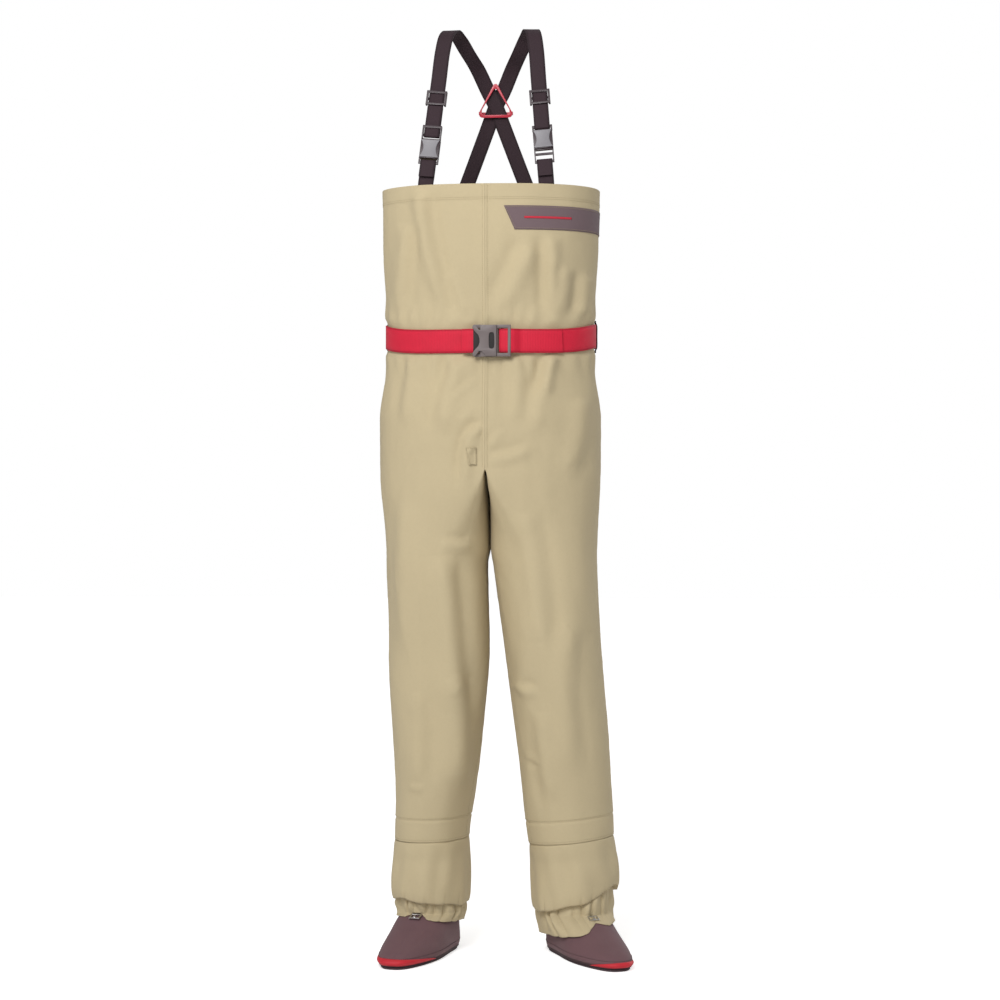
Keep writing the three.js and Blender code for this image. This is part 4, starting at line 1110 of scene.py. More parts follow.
class WADERS_OT_hem(bpy.types.Operator):
    """Facing inside the top edge, seam tapes and the stitching of the shell"""

    bl_idname = "waders.hem"
    bl_label = "Hem, tapes and stitching"
    bl_options = {"REGISTER", "UNDO"}

    def execute(self, context):
        s = context.scene.wader_sizes
        outer = round_shares()
        ring = []
        for z in np.linspace(BIB_TOP - 0.0006, BIB_TOP - 0.026, 7):
            right = shell(-1, np.full(outer.shape, z), outer, -s.cloth_wall - 0.0004, s.fold_depth)
            left = shell(1, np.full(outer.shape, z), outer, -s.cloth_wall - 0.0004, s.fold_depth)
            ring.append(np.vstack([right[:-1], left[::-1][:-1]]))
        facing = grid("hem_facing", place(np.array(ring)), True)
        face_away(facing)
        shade(thicken(facing, 0.0010), finish("lining_cloth"))
        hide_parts("bib_hem")
        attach(facing, "waders")

        inside = -s.cloth_wall - TAPE_WALL
        heights = np.arange(BIB_TOP - 0.0268, CROTCH_Z + 0.008, -0.006)
        for name, node, at in (("front", "front_seam_tape", 0.0),
                               ("back", "back_seam_tape", OUTER_SHARE)):
            rows = []
            for z in heights:
                reach = share_at(z, 0.011)
                shares = np.array([reach, reach / 3, 0.0002])
                shares = shares if at == 0 else at - shares
                right = shell(-1, np.full(3, z), shares, inside, s.fold_depth)
                left = shell(1, np.full(3, z), shares, inside, s.fold_depth)
                rows.append(np.vstack([right, left[::-1]]))
            tape = grid(f"{name}_tape", place(np.array(rows)))
            face_away(tape)
            shade(thicken(tape, TAPE_WALL), finish("seam_tape"))
            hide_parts(node)
            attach(tape, "waders")
        for name, side in SIDES.items():
            heights = np.arange(between(THIGH_Z, CROTCH_Z, 0.6), 0.185, -0.006)
            shares = np.linspace(INSIDE_LEG - 0.022, INSIDE_LEG + 0.022, 5)
            points = shell(side, heights[:, None], shares[None, :], inside, s.fold_depth)
            tape = grid(f"inseam_{name}", place(points))
            face_away(tape, (BODY_X + side * 0.1, BODY_Y))
            shade(thicken(tape, TAPE_WALL), finish("seam_tape"))
            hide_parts(f"inseam_tape_{name}")
            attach(tape, "waders")

        lift = s.thread * 0.15
        paths = []
        outer = np.linspace(0.0, OUTER_SHARE, 160)
        down = np.arange(BIB_TOP - 0.004, CROTCH_Z + 0.002, -0.004)
        for side in SIDES.values():
            for depth in (0.0245, 0.0215):
                paths.append(shell(side, np.full(outer.shape, BIB_TOP - depth), outer, lift,
                                   s.fold_depth))
            shares = np.array([share_at(z, MIDDLE_STITCH) for z in down])
            paths.append(shell(side, down, shares, lift, s.fold_depth))
            paths.append(shell(side, down, OUTER_SHARE - shares, lift, s.fold_depth))
            full = np.linspace(0.0, 1.0, 180)
            for z in (SHIN_SEAM + 0.0035, GUARD_TOP + 0.0045):
                paths.append(shell(side, np.full(full.shape, z), full, lift, s.fold_depth))
            low = np.arange(THIGH_Z, 0.19, -0.005)
            paths.append(shell(side, low, np.full(low.shape, INSIDE_LEG), lift, s.fold_depth))
        stitches("shell_stitches", [place(p) for p in paths], finish("sewing_thread"), "waders")
        return {"FINISHED"}


class WADERS_OT_patches(bpy.types.Operator):
    """Chest strip and the small patch at the foot of the front seam"""

    bl_idname = "waders.patches"
    bl_label = "Chest strip and patch"
    bl_options = {"REGISTER", "UNDO"}

    def on_front(self, side, corners, rows, columns, lift, s):
        """A grid on the front. Corners (x, z): inner and outer at the top, then at the bottom."""
        (x0, z0), (x1, _), (x2, z2), (x3, _) = corners
        points = []
        for r in np.linspace(0, 1, rows):
            z = np.full(columns, between(z0, z2, r))
            start = share_at(z[0], between(x0, x2, r))
            end = share_at(z[0], between(x1, x3, r)) if x1 < 0.17 else 0.36
            points.append(shell(side, z, np.linspace(start, end, columns), lift, s.fold_depth))
        return np.array(points)

    def execute(self, context):
        s = context.scene.wader_sizes
        corners = [(0.030, 1.204), (1, 1.204), (0.047, 1.166), (1, 1.166)]
        points = self.on_front(1, corners, 16, 70, 0.0009, s)
        strip = grid("chest_strip", place(points))
        face_away(strip)
        shade(thicken(strip, 0.0008), finish("strip_cloth"))
        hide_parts("chest_patch")
        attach(strip, "waders")

        accent = self.on_front(1, [(0.062, 1.1872), (0.135, 1.1872), (0.062, 1.1838),
                                   (0.135, 1.1838)], 3, 40, 0.0014, s)
        bar = grid("strip_accent", place(accent))
        face_away(bar)
        shade(thicken(bar, 0.0004), finish("accent_thread"))
        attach(bar, "waders")

        edge = self.on_front(1, [(0.033, 1.2017), (1, 1.2017), (0.0485, 1.1683), (1, 1.1683)], 14,
                             90, 0.0011, s)
        loop = np.vstack([edge[0][::-1], edge[:, 0], edge[-1]])
        stitches("strip_stitches", [place(loop)], finish("sewing_thread"), "waders")

        corners = [(0.030, 0.821), (0.013, 0.821), (0.024, 0.793), (0.013, 0.793)]
        patch = grid("crotch_square", place(self.on_front(-1, corners, 10, 8, 0.0017, s)))
        face_away(patch)
        shade(thicken(patch, 0.0010), finish("shell_cloth"))
        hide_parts("crotch_patch")
        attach(patch, "waders")
        inset = [(0.0285, 0.8195), (0.0145, 0.8195), (0.0228, 0.7945), (0.0145, 0.7945)]
        edge = self.on_front(-1, inset, 10, 8, 0.0019, s)
        loop = np.vstack([edge[0], edge[:, -1], edge[-1][::-1], edge[::-1, 0]])
        stitches("patch_stitches", [place(loop)], finish("sewing_thread"), "waders")
        return {"FINISHED"}


def fold_round_bar(bend, reach, half, thickness):
    """Webbing folded round a bar, as it is in every buckle."""
    middle = half + GAP + thickness / 2
    way = 1 if reach > bend else -1
    turn = [
        (bend + way * middle * (0.2 + 0.9 * math.cos(math.radians(d))),
         middle * math.sin(math.radians(d)))
        for d in range(90, 271, 20)
    ]
    return [(reach, middle), *turn, (reach, -middle)]


BELT_MOUTH = 0.019
BELT_FACE = BODY[2][2] + GAP + 0.006 + 0.0003
BELT_SOCKET_BEND = -0.0315
BELT_PLUG_RUN = 0.050


def belt_at(side, degrees, layer=0.0):
    out = GAP + BELT_THICKNESS / 2 + layer * (BELT_THICKNESS + GAP)
    degrees = np.asarray(degrees, float)
    points = body_point(side, np.full(degrees.shape, BELT_Z), degrees, out)
    points[:, 2] = belt_height(points[:, 1])
    return points


def belt_angle(x):
    return -angle_at(BELT_Z, x)


def belt_place(pairs):
    return np.array([(BELT_MOUTH + x, -BELT_FACE - z, BELT_Z - BELT_DIP) for x, z in pairs])


def cut_plate(name, outlines, half):
    """A flat plate with rounded edges and any holes, in the plane of the outlines."""
    curve = bpy.data.curves.new(name, "CURVE")
    curve.dimensions, curve.fill_mode = "2D", "BOTH"
    edge = half * 0.45
    curve.extrude, curve.bevel_depth, curve.bevel_resolution = half - edge, edge, 2
    curve.offset = -edge
    for outline in outlines:
        line = curve.splines.new("POLY")
        line.points.add(len(outline) - 1)
        for point, (x, z) in zip(line.points, outline):
            point.co = (x, z, 0, 1)
        line.use_cyclic_u = True
    drawn = add_object(name, curve)
    graph = bpy.context.evaluated_depsgraph_get()
    mesh = bpy.data.meshes.new_from_object(drawn.evaluated_get(graph))
    bpy.data.objects.remove(drawn)
    return mesh


class WADERS_OT_belt(bpy.types.Operator):
    """Belt webbing, its loops and its buckle"""

    bl_idname = "waders.belt"
    bl_label = "Belt"
    bl_options = {"REGISTER", "UNDO"}

    def length(self, name, pieces, body, node, slot="belt", width=BELT_WIDTH):
        made = strap(
            name, place(np.vstack(pieces)), (0, 0, 1), width, BELT_THICKNESS, finish("belt_webbing")
        )
        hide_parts(node)
        if body:
            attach(made, body)
        return made

    def execute(self, context):
        bend = BELT_SOCKET_BEND
        fold = fold_round_bar(bend, bend - 0.012, 0.0015, BELT_THICKNESS)
        start = belt_angle(BELT_MOUTH + bend - 0.020)
        self.length(
            "belt_main",
            [
                belt_place([(bend - 0.024, -0.0014)]), belt_place(fold),
                belt_at(-1, np.linspace(start, 89.5, 40)), belt_at(1, np.linspace(89.5, 12, 20)),
            ],
            "waders", "belt_webbing",
        )
        meeting = belt_angle(BELT_MOUTH + BELT_PLUG_RUN)
        adjusting = self.length(
            "belt_adjusting", [belt_at(1,
                                       np.linspace(meeting + 0.3, 11.6,
                                                   24))], None, "belt_adjusting_end"
        )
        front = place(belt_at(1, [meeting + 4]))[0]
        side = place(belt_at(1, [0.0]))[0]
        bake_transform(adjusting)
        plug_fold = fold_round_bar(0.006, 0.025, 0.0013, BELT_THICKNESS)
        tail_from = belt_angle(BELT_MOUTH + BELT_PLUG_RUN - 0.014)
        self.length(
            "belt_tail_end",
            [
                belt_at(1, np.linspace(belt_angle(0.118), tail_from, 12),
                        1.2), belt_place(plug_fold),
                belt_at(1, [meeting]),
            ],
            "belt_plug_end", "belt_tail",
        )
        for node in ("belt_socket", "belt_plug", "belt_prong_upper", "belt_prong_lower"):
            rounded_copy(node, f"{node}_moulding", finish("buckle_plastic"), 0.0009, 3)
        self.buckle_face()
        for name in ("right", "left", "back"):
            self.loop(name)
        return {"FINISHED"}

    def buckle_face(self):
        """The waisted face plate of the socket, with its window, over near-black plates that paint
        the shade in its recesses.
        """
        upper = [
            (-0.0385, 0.0200), (-0.0375, 0.0245), (-0.0340, 0.0245), (-0.0280, 0.0168), (-0.0235,
                                                                                         0.0172),
            (-0.0165, 0.0245), (-0.0015, 0.0245), (-0.0005, 0.0230),
        ]
        bite = [(-0.0340, 0.0140), (-0.0290, 0.0085), (-0.0272, 0.0030)]
        outline = upper + [(x, -z) for x, z in reversed(upper)]
        outline += [(x, -z) for x, z in bite] + list(reversed(bite))
        turn = np.radians(np.arange(0, 360, 15))
        window = [
            (-0.0080 + 0.0044 * np.sign(math.cos(a)) * abs(math.cos(a)) ** 0.5,
             0.0128 * np.sign(math.sin(a)) * abs(math.sin(a)) ** 0.5)
            for a in turn
        ]
        half = -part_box("belt_socket")[0].y + BODY_Y - BELT_FACE
        self.plate("belt_face", [outline, window], half + 0.0013, 0.0012, "buckle_plastic")
        tall = 0.0185
        # Painted shade: thin near-black plates under the window and beside the waist stand for the
        # darkness seen in those openings.
        for name, x0, x1, z in (("belt_painted_shade_left", -0.0372, -0.0262, half - 0.0009),
                                ("belt_painted_shade_right", -0.0135, -0.0026, half + 0.0004)):
            self.plate(name, [rectangle(x0, x1, -tall, tall)], z, 0.0003, "painted_shade_plastic")

    def plate(self, name, outlines, height, half, material):
        """A flat plate facing forward from the belt's mouth."""
        mesh = cut_plate(name, outlines, half)
        for vertex in mesh.vertices:
            x, z, y = vertex.co
            vertex.co = place(belt_place([(x, height + y)]))[0] + np.array([0, 0, z])
        made = add_object(name, mesh)
        mend(mesh, 1e-6)
        shade(made, finish(material), 40)
        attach(made, "waders")

    def loop(self, name):
        low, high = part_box(f"belt_loop_{name}")
        middle = (low + high) / 2
        side = {"right": -1, "left": 1, "back": 1}[name]
        depth = float(read(BODY, np.asarray(middle.z))[1])
        reach = min(1.0, abs(middle.y - BODY_Y) / depth)
        degrees = 90.0 if name == "back" else math.degrees(math.asin(reach ** (BODY_POWER / 2)))
        base, after = body_point(side, np.full(2, middle.z), np.array([degrees, degrees + 1.0]))
        across = unit(after - base) if name != "back" else np.array([1.0, 0, 0])
        normal = unit(np.cross(across, (0, 0, side))) if name != "back" else np.array([0, 1.0, 0])
        half, hold, rise = (high.z - low.z) / 2, BELT_WIDTH / 2, BELT_THICKNESS + 3 * GAP
        profile = [
            (half, 0.0012), (hold + 0.0030, 0.0014), (hold + 0.0016, rise * 0.7), (hold - 0.001,
                                                                                   rise),
            (0, rise + 0.0002), (-hold + 0.001, rise), (-hold - 0.0016, rise * 0.7),
            (-hold - 0.0030, 0.0014), (-half, 0.0012),
        ]
        path = place([base + normal * out + np.array([0, 0, z]) for z, out in profile])
        made = strap(f"loop_{name}", path, across, 0.014, 0.0016, finish("strap_webbing"), 0.0015)
        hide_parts(f"belt_loop_{name}")
        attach(made, "waders")


# ---------------------------------------------------------------- suspenders

FRONT_SPREAD, REAR_SPREAD, SHOULDER_SPREAD = 0.0965, 0.059, 0.076
SHOULDER_RISE, STRAIGHT_RISE, LEAN, CROSSING_RISE = 0.267, 0.225, 0.31, 0.157
TAB_LENGTH, LOOP_LENGTH = 0.037, 0.035
BUCKLE_BODY, BUCKLE_SLOT, BUCKLE_BAR, BUCKLE_PLUG = 0.0325, 0.0045, 0.0045, 0.024
STRAP_INSET = 0.002 + 0.0012 + GAP + STRAP_THICKNESS / 2
REAR_LEAN = 0.06


def front_run(side):
    """Where a suspender's straight front run starts and ends, with its own three directions."""
    y = -float(body_depth(BIB_TOP, FRONT_SPREAD)) + STRAP_INSET
    start = np.array([side * FRONT_SPREAD, y, BIB_TOP])
    end = np.array([side * SHOULDER_SPREAD, y + LEAN * STRAIGHT_RISE, BIB_TOP + STRAIGHT_RISE])
    along = unit(end - start)
    across = np.array([1.0, 0, 0])
    across = unit(across - along * across.dot(along))
    return start, end, along, across, np.cross(across, along)


def rear_y(z):
    hinge = float(body_depth(BIB_TOP, REAR_SPREAD)) - STRAP_INSET
    return hinge - REAR_LEAN * (z - BIB_TOP)


def slope_at(x):
    return float(body_depth(BIB_TOP, x + 0.010) - body_depth(BIB_TOP, x - 0.010)) / 0.020


class WADERS_OT_suspenders(bpy.types.Operator):
    """Suspender webbing, the ring that holds the crossing, buckles and sliders"""

    bl_idname = "waders.suspenders"
    bl_label = "Suspenders"
    bl_options = {"REGISTER", "UNDO"}

    def webbing(self, name, path, across, nodes, spacing=0.003):
        made = strap(
            name, place(path), across, STRAP_WIDTH, STRAP_THICKNESS, finish("strap_webbing"),
            spacing,
        )
        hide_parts(*nodes)
        return made

    def execute(self, context):
        socket = BUCKLE_BODY + BUCKLE_SLOT + BUCKLE_BAR
        loop_end = TAB_LENGTH + socket + BUCKLE_PLUG + LOOP_LENGTH
        for name, side in SIDES.items():
            start, end, along, across, out = front_run(side)
            self.main_strap(name, side, start, end, along, loop_end)
            plug_on_top = side < 0
            mouth = TAB_LENGTH + (socket if plug_on_top else BUCKLE_PLUG)
            bend = -BUCKLE_BODY - BUCKLE_SLOT
            upper = (mouth + 0.007, 0.0013) if plug_on_top else (mouth - bend, 0.0015)
            lower = (mouth + bend, 0.0015) if plug_on_top else (mouth - BUCKLE_PLUG + 0.004, 0.0013)

            def on_run(pairs):
                return np.array([start + along * x + out * z for x, z in pairs])

            loop = on_run(fold_round_bar(upper[0], loop_end, upper[1], STRAP_THICKNESS))
            made = self.webbing(f"loop_webbing_{name}", loop, across, [f"strap_loop_{name}"],
                                0.0015)
            top, low = place([start + along * (loop_end - 0.001),
                              start + along * (upper[0] + 0.012)])
            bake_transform(made)
            self.tab(name, side, lower, on_run, across)
            for node in (
                f"front_socket_{name}", f"front_plug_{name}",
                f"front_prong_{name}_inner", f"front_prong_{name}_outer",
            ):
                moulding = rounded_copy(node, f"{node}_moulding", finish("slider_plastic"), 0.0007,
                                        3)
            run = (start, along, across, out)
            self.socket_face(name, run, mouth, 1 if plug_on_top else -1)
            self.slider_frame(name, run)
            slider = rounded_copy(f"adjuster_{name}", f"slider_{name}", finish("slider_plastic"),
                                  0.0007, 3)
        rounded_copy("cross_ring", "crossing_ring", finish("ring_plastic"), 0.0010, 3)
        return {"FINISHED"}

    def spans(self, node, start, along, across, out):
        """How far a CAD piece reaches from the strap's foot: along it, across it and out."""
        foot = place([start])[0]
        seen = np.array([np.array(node.matrix_world @ v.co) - foot for v in node.data.vertices])
        return [((seen @ way).min(), (seen @ way).max()) for way in (along, across, out)]

    def mounted_plate(self, name, node, run, outlines, height, half, material):
        """A flat plate on the front of a buckle; its outlines lie across and along the strap."""
        start, along, across, out = run
        foot = place([start])[0]
        mesh = cut_plate(name, outlines, half)
        points = [foot + across * x + along * z + out * (height + y) for x, z,
                  y in (v.co for v in mesh.vertices)]
        made = new_object(name, points, [p.vertices[:] for p in mesh.polygons])
        mend(made.data, 1e-6)
        shade(made, finish(material), 40)
        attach(made, node["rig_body"])

    def socket_face(self, name, run, mouth, way):
        """The waisted plate on the front of a socket; way is +1 where the mouth is on top."""
        node = frame["nodes"][f"front_socket_{name}"]
        _, (left, right), (_, height) = self.spans(node, *run)
        half, middle = (right - left) / 2, (right + left) / 2
        side = []
        for t in np.linspace(0, 1, 13):
            waist = 0.94 - 0.30 * math.sin(math.pi * t) ** 0.8
            side.append((half * waist, mouth - way * BUCKLE_BODY * (0.04 + 0.92 * t)))
        outline = [(middle + x, z) for x, z in side] + [(middle - x, z) for x, z in reversed(side)]
        self.mounted_plate(
            f"socket_face_{name}", node, run, [outline], height + 0.0007, 0.0009,
            "front_buckle_plastic",
        )

    def slider_frame(self, name, run):
        """The wide sides of an adjuster, which close on the webbing."""
        node = frame["nodes"][f"adjuster_{name}"]
        (low, high), (left, right), (_, height) = self.spans(node, *run)
        middle = (right + left) / 2
        outer = (right - left) / 2 - 0.0002
        inner = STRAP_WIDTH / 2 + 0.0004
        rim = rectangle(middle - outer, middle + outer, low, high)
        bar = 0.0034
        hole = rectangle(middle - inner, middle + inner, low + bar, high - bar)
        self.mounted_plate(
            f"slider_frame_{name}", node, run, [rim,
                                                hole], height - 0.0006, 0.0011, "slider_plastic"
        )

    def main_strap(self, name, side, start, end, along, loop_end):
        top = BIB_TOP + SHOULDER_RISE
        crossing = BIB_TOP + CROSSING_RISE
        layer = side * 0.0013

        def at(x, y, z):
            return np.array([side * x, y, z])

        first = start + along * (loop_end - 0.006)
        path = [
            first, (first + end) / 2, end,
            at(SHOULDER_SPREAD - 0.005, end[1] + 0.015, top - 0.013),
            at(SHOULDER_SPREAD - 0.012, end[1] + 0.044, top),
            at(SHOULDER_SPREAD - 0.021, end[1] + 0.073, top - 0.009),
            at(0.044, rear_y(top) - 0.034, top - 0.027),
            at(0.029, rear_y(top) - 0.008, top - 0.051),
            at(0.013, rear_y(crossing + 0.025) - 0.0005 + layer, crossing + 0.025),
            at(0, rear_y(crossing) + layer, crossing),
            at(-0.012, rear_y(crossing - 0.032) + layer, crossing - 0.032),
            at(-REAR_SPREAD * 0.62, rear_y(BIB_TOP + 0.060) + layer * 0.5, BIB_TOP + 0.060),
            at(-REAR_SPREAD, rear_y(BIB_TOP + 0.0015), BIB_TOP + 0.0015),
        ]
        tilt = REAR_SPREAD / CROSSING_RISE
        path = list(curve_through(path, 0.006))
        across = []
        for a, b in zip(path, path[1:] + [2 * path[-1] - path[-2]]):
            t = unit(b - a)
            across.append(unit(np.cross(t, (0, -t[2], t[1]))))
        flat = unit(np.array([side, -slope_at(REAR_SPREAD + 0.012), -tilt]))
        if flat.dot(across[-1]) < 0:
            flat = -flat
        for dz in (-0.008, -0.018, -0.034):
            x = REAR_SPREAD - dz * tilt
            y = float(body_depth(BIB_TOP + dz, x)) - STRAP_INSET - 0.0012
            path.append(np.array([-side * x, y, BIB_TOP + dz]))
            across.append(flat)
        made = self.webbing(
            f"suspender_webbing_{name}", np.array(path), np.array(across),
            [f"suspender_{name}", f"rear_strap_end_{name}"],
        )
        foot = path[-4]
        low, high = place([[0, foot[1], BIB_TOP - 0.004], [0, foot[1], BIB_TOP + 0.036]])
        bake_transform(made)

    def tab(self, name, side, lower, on_run, across):
        tab = on_run(fold_round_bar(lower[0], 0.014, lower[1], STRAP_THICKNESS))
        flat = np.array([1, -side * slope_at(FRONT_SPREAD), 0])
        below = []
        for dz in (-0.004, -0.014, -0.024, -0.034):
            y = -float(body_depth(BIB_TOP + dz, FRONT_SPREAD)) + STRAP_INSET + 0.0024
            below.append((side * FRONT_SPREAD, y, BIB_TOP + dz))
        path = np.vstack([tab, on_run([(0.003, -0.002)]), below])
        ways = [between(across, flat, min(1, max(0, (i - len(tab) + 0.5) / 2)))
                for i in range(len(path))]
        made = self.webbing(f"tab_webbing_{name}", path, np.array(ways), [f"strap_tab_{name}"],
                            0.0018)
        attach(made, "waders")


# ---------------------------------------------------------------- feet


def foot_point(side, z, degrees, out=0.0):
    """Round one foot: 0 degrees at the toe, 90 at the outside, 180 at the heel."""
    z, degrees = np.broadcast_arrays(np.asarray(z, float), np.asarray(degrees, float))
    back, ahead, half = read(FOOT, z)
    _, x0, y0, _, _, turn = LEGS[side][-1]
    angle = np.radians(degrees)
    reach = np.maximum(0, (ahead - back) / (ahead + back))
    front = np.cos(angle) > 0
    power = np.where(front, 2.1 + 1.3 * reach, 2.1)
    t, w = oval(1.0, 1.0, power, angle)
    run = np.where(front, ahead, back) + out
    ball = 0.28 * reach * np.sin(math.pi * np.clip(t, 0, 1)) ** 2
    taper = np.where(front, 1 + ball, 1 - 0.24 * reach * t * t)
    x, y = leg_frame(side, x0, y0, turn, (half * taper + out) * w, run * t)
    return np.stack([x, y, z], -1)


class WADERS_OT_feet(bpy.types.Operator):
    """Neoprene booties with their seams, toe trim and soles"""

    bl_idname = "waders.feet"
    bl_label = "Booties"
    bl_options = {"REGISTER", "UNDO"}

    def execute(self, context):
        for name, side in SIDES.items():
            _, x0, y0, _, _, _ = LEGS[side][-1]
            middle = (BODY_X + side * x0, BODY_Y + y0 - 0.02)
            degrees = np.linspace(0, 360, 121)[:-1]
            heights = np.concatenate([np.linspace(0.1118, 0.013, 44),
                                      [0.0105, 0.0082, 0.0062, 0.0048]])
            under = np.concatenate([np.zeros(44), [0.0, 0.0004, 0.0010, 0.0018]])
            points = np.array([foot_point(side, z, degrees, -u) for z, u in zip(heights, under)])
            crease = 0.0012 * creases(points, 0.05, 1.0, 31) * smooth((heights - 0.02) / 0.03)[:,
                                                                                               None]
            centre = np.array([side * x0, y0 - 0.02, 0])
            away = points - centre
            away[..., 2] = 0
            away /= np.linalg.norm(away, axis=-1, keepdims=True)
            points = points + away * np.minimum(crease, 0.0006)[..., None]
            bootie = grid(f"bootie_skin_{name}", place(points), True)
            face_away(bootie, middle)
            shade(thicken(bootie, 0.0036), finish("bootie_neoprene"))
            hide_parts(f"bootie_{name}")
            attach(bootie, "waders")

            rings = [(0.0001, 0.0010), (0.0009, 0.0), (0.0032, 0.0), (0.0042, 0.0012)]
            walls = np.array([
                foot_point(side, 0.0043, degrees,
                           -inset) + np.array([0, 0, z - 0.0043]) for z, inset in rings
            ])
            count = len(degrees)
            faces = grid_faces(len(rings), count, True)
            faces += [tuple(reversed(range(count))), tuple(range(3 * count, 4 * count))]
            sole = new_object(f"sole_pad_{name}", place(walls).reshape(-1, 3), faces)
            mend(sole.data)
            shade(sole, finish("sole_rubber"), 50)
            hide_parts(f"sole_{name}")
            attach(sole, "waders")

            reach, tall = (72, 0.0122) if side < 0 else (52, 0.0100)
            span = np.linspace(6 - reach, 6 + reach, 70)
            rows = []
            for t in np.linspace(0, 1, 9):
                end = np.maximum(0, 1 - ((span - 6) / reach) ** 2) ** 0.7
                z = 0.0048 + t * (0.0004 + tall * end)
                rows.append(foot_point(side, z, span, 0.0006 + 0.0014 * math.sin(math.pi * t)))
            trim = grid(f"toe_trim_{name}", place(np.array(rows)))
            face_away(trim, middle)
            shade(thicken(trim, 0.0008), finish("toe_rubber"))
            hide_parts(f"toe_piece_{name}")
            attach(trim, "waders")

            seam = foot_point(side, 0.0068, np.linspace(0, 360, 181), 0.0002)
            cord = strap(
                f"edge_seam_{name}", place(seam), (0, 0, 1), 0.0036, 0.0014,
                finish("seam_neoprene"), 0.004,
            )
            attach(cord, "waders")
            lines = [foot_point(side, 0.0165, np.linspace(0, 360, 200), 0.0003)]
            lines.append(foot_point(side, np.linspace(0.110, 0.020, 50), 180, 0.0003))
            stitches(
                f"bootie_stitches_{name}", [place(p) for p in lines], finish("seam_neoprene"),
                "waders", 0.0009,
            )
            tape = frame["nodes"][f"ankle_tape_{name}"]
            shade(tape, finish("seam_tape"))
        return {"FINISHED"}


# ---------------------------------------------------------------- guards and cuffs

CUFF_HALF = {-1: (0.0515, 0.067), 1: (0.057, 0.066)}


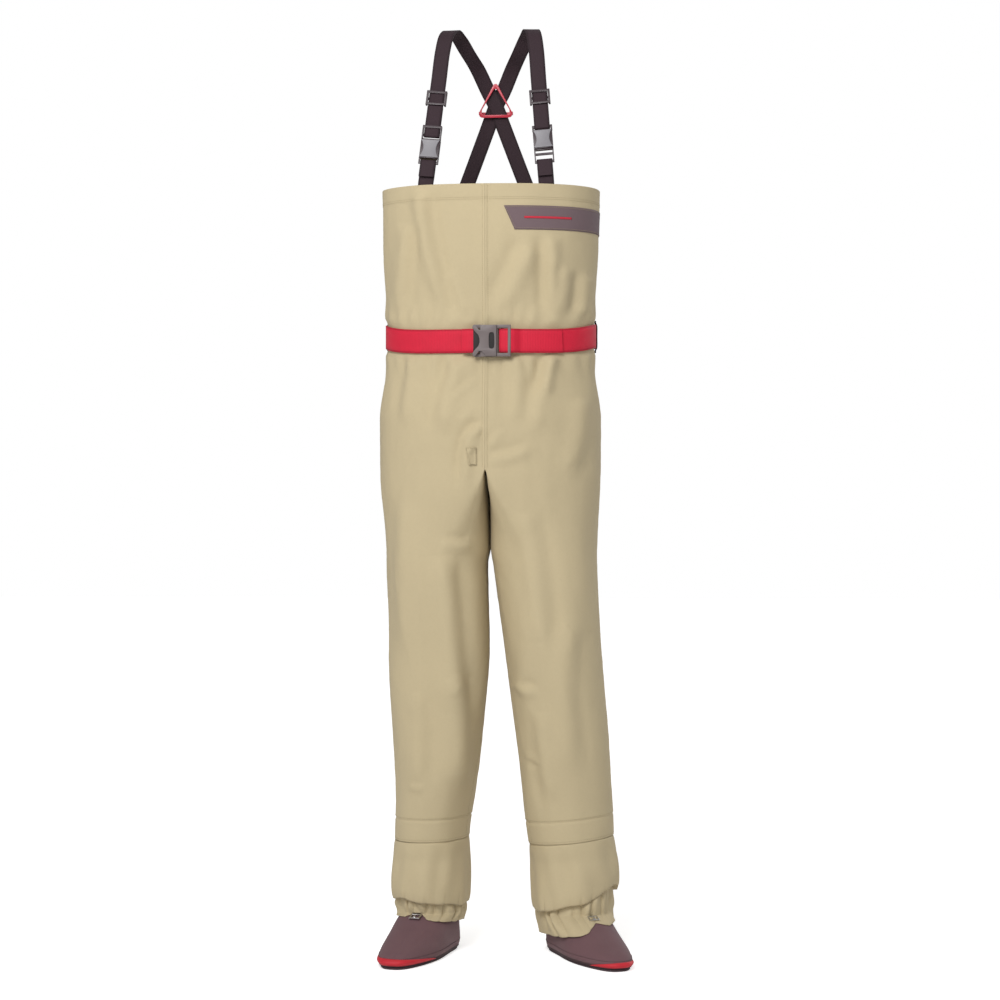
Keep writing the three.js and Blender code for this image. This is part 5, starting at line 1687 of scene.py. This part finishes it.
class WADERS_OT_guards(bpy.types.Operator):
    """Gravel guards that blouse over gathered elastic cuffs, with their lace hooks"""

    bl_idname = "waders.guards"
    bl_label = "Gravel guards"
    bl_options = {"REGISTER", "UNDO"}

    def execute(self, context):
        s = context.scene.wader_sizes
        for name, side in SIDES.items():
            made = grid(f"guard_{name}", place(self.surface(side, s)), True)
            x0, y0 = LEGS[side][-1][1:3]
            face_away(made, (BODY_X + side * x0, BODY_Y + y0))
            shade(thicken(made, 0.0010), finish("shell_cloth"))
            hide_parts(f"gravel_guard_{name}", f"cuff_{name}")
            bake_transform(made)
            shade(frame["nodes"][f"hem_elastic_{name}"], finish("cuff_elastic"))
            tab = rounded_copy(f"hook_tab_{name}", f"hook_ribbon_{name}", finish("shell_cloth"),
                               0.0003)
            hook = rounded_copy(f"lace_hook_{name}", f"hook_wire_{name}", finish("hook_metal"),
                                0.0005, 3)
        return {"FINISHED"}

    def surface(self, side, s):
        """Rows from the shin seam over the loose cloth, under it and down the gathered cuff."""
        degrees = np.linspace(0, 360, 321)[:-1]  # 0 at the front of the shin, 90 at its outside
        angle = np.radians(degrees)
        from_front = (degrees + 180) % 360 - 180
        random = np.random.RandomState(5 + side)
        drift = 0.35 * np.sin(3 * angle + random.uniform(0, 6)) + 0.25 * np.sin(7 * angle
                                                                                + random.uniform(0,
                                                                                                 6))
        pleat = np.abs(np.sin(s.gathers / 2 * angle + 2.1 * drift)) ** 0.6
        pleat *= 0.72 + 0.28 * np.sin(5 * angle + 1)
        pleat *= 0.8 + 0.2 * np.sin(11 * angle + 2 * side)
        pleat *= 1 - 0.7 * bell(from_front - 34, 15)
        rows = []
        arch = 0.017 * bell(from_front - 42, 38) if side > 0 else 0.0
        wave = np.sin(2 * angle + 0.6) * 0.5 + np.sin(5 * angle + random.uniform(0, 6)) * 0.35
        wave += np.sin(9 * angle + random.uniform(0, 6)) * 0.2
        blouse_z = 0.083 + 0.0050 * np.cos(angle) + 0.0040 * wave + arch
        blouse_z += GUARD_LEAN[side] * np.sin(angle)
        a, b = read(LEGS[side], np.full(angle.shape, GUARD_SEAM))[2:4]
        for t in np.linspace(0, 1, 34):
            z = between(GUARD_TOP, blouse_z, t)
            x0, y0 = read(LEGS[side], z)[:2]
            belly = -0.0010 * (1 - t) ** 24 + 0.0006 + 0.0046 * math.sin(math.pi / 2
                                                                         * t**1.6) - 0.0050 * t**7
            folds = (0.0026 * np.sin(6 * angle + 2.5 * t + 1) + 0.0020
                     * np.sin(11 * angle - 3 * t)) * t * (1.15 - t)
            folds += 0.0018 * pleat * smooth((t - 0.72) / 0.28)
            out = belly + folds * 1.6
            rows.append(self.ring(side, x0, y0, a + out, b + out, angle, z))
        # Turned under, up to the head of the cuff.
        blouse = rows[-1]
        a1, b1 = CUFF_HALF[side]
        x1, y1 = LEGS[side][-1][1:3]
        for t in (0.12, 0.3, 0.5, 0.72, 0.9, 1.0):
            z = blouse_z + 0.0040 * math.sin(t * math.pi / 2) - 0.0012 * math.sin(t * math.pi)
            gather = 0.0020 * pleat * t
            inner = self.ring(side, x1, y1, a1 + gather, b1 + gather, angle, z)
            mixed = between(blouse, inner, smooth(t))
            mixed[:, 2] = z
            rows.append(mixed)
        head = rows[-1][:, 2].copy()
        # The hem is drawn up a little over the lace hook.
        hook_low, hook_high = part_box(f"lace_hook_{'right' if side < 0 else 'left'}")
        hook = (hook_low + hook_high) / 2
        around = place(self.ring(side, x1, y1, a1, b1, angle, hook.z))
        at = degrees[np.argmin(np.hypot(around[:, 0] - hook.x, around[:, 1] - hook.y))]
        lift = 0.0080 * bell((degrees - at + 180) % 360 - 180, 15)
        for t in np.linspace(0.04, 1, 22):
            low = CUFF_BOTTOM[side] + CUFF_TILT * np.cos(angle) - 0.0012 * (pleat - 0.4)
            low += GUARD_LEAN[side] * np.sin(angle) + lift
            z = between(head, low, t)
            scrunch = 0.0016 * np.sin(13 * angle + 5 * t) * math.sin(math.pi * t)
            z += scrunch
            drawn_in = smooth((t - 0.78) / 0.22)
            puff = 0.0112 * pleat * (0.55 + 0.45 * math.sin(math.pi * min(1.0, t / 0.8)))
            out = np.maximum(puff * (1 - 0.5 * drawn_in) - 0.0018 + 0.6 * scrunch, -0.0016)
            back, ahead, half = read(FOOT, z)
            instep = np.where(np.cos(angle) > 0, ahead, back) + 0.0042 + out
            wide = np.maximum(a1 + out, half + 0.0030)
            rows.append(self.ring(side, x1, y1, wide, np.maximum(b1 + out, instep), angle, z))
        points = np.array(rows)
        middle_x = side * LEGS[side][4][1]
        tilt = SEAM_TILT[side] * side * (points[..., 0] - middle_x)
        points[..., 2] += tilt * smooth((points[..., 2] - 0.11) / 0.06)
        return points

    def ring(self, side, x0, y0, a, b, angle, z):
        ahead, across = oval(b, a, LEG_POWER, angle)
        turn = read(LEGS[side], np.asarray(GUARD_SEAM, float))[4]
        x, y = leg_frame(side, x0, y0, turn, across, ahead)
        return np.stack([x + 0 * angle, y + 0 * angle, z + 0 * angle], -1)


class WADERS_PT_panel(bpy.types.Panel):
    """Lists the steps that build the waders"""

    bl_label = "Chest Waders"
    bl_space_type = "VIEW_3D"
    bl_region_type = "UI"
    bl_category = "Waders"

    def draw(self, context):
        for operator in OPERATORS:
            self.layout.operator(operator.bl_idname)
        for group in (context.scene.wader_sizes, context.scene.wader_colours):
            for name in group.bl_rna.properties.keys():
                if name not in ("rna_type", "name"):
                    self.layout.prop(group, name)


OPERATORS = (
    WADERS_OT_stage,
    WADERS_OT_shell,
    WADERS_OT_hem,
    WADERS_OT_patches,
    WADERS_OT_belt,
    WADERS_OT_suspenders,
    WADERS_OT_feet,
    WADERS_OT_guards,
)
CLASSES = (WaderSizes, WaderColours, *OPERATORS, WADERS_PT_panel)


def register():
    for cls in CLASSES:
        bpy.utils.register_class(cls)
    bpy.types.Scene.wader_sizes = bpy.props.PointerProperty(type=WaderSizes)
    bpy.types.Scene.wader_colours = bpy.props.PointerProperty(type=WaderColours)


def unregister():
    del bpy.types.Scene.wader_colours
    del bpy.types.Scene.wader_sizes
    for cls in reversed(CLASSES):
        bpy.utils.unregister_class(cls)


def main():
    register()
    for operator in OPERATORS:
        group, name = operator.bl_idname.split(".")
        getattr(getattr(bpy.ops, group), name)()


if __name__ == "__main__":
    main()
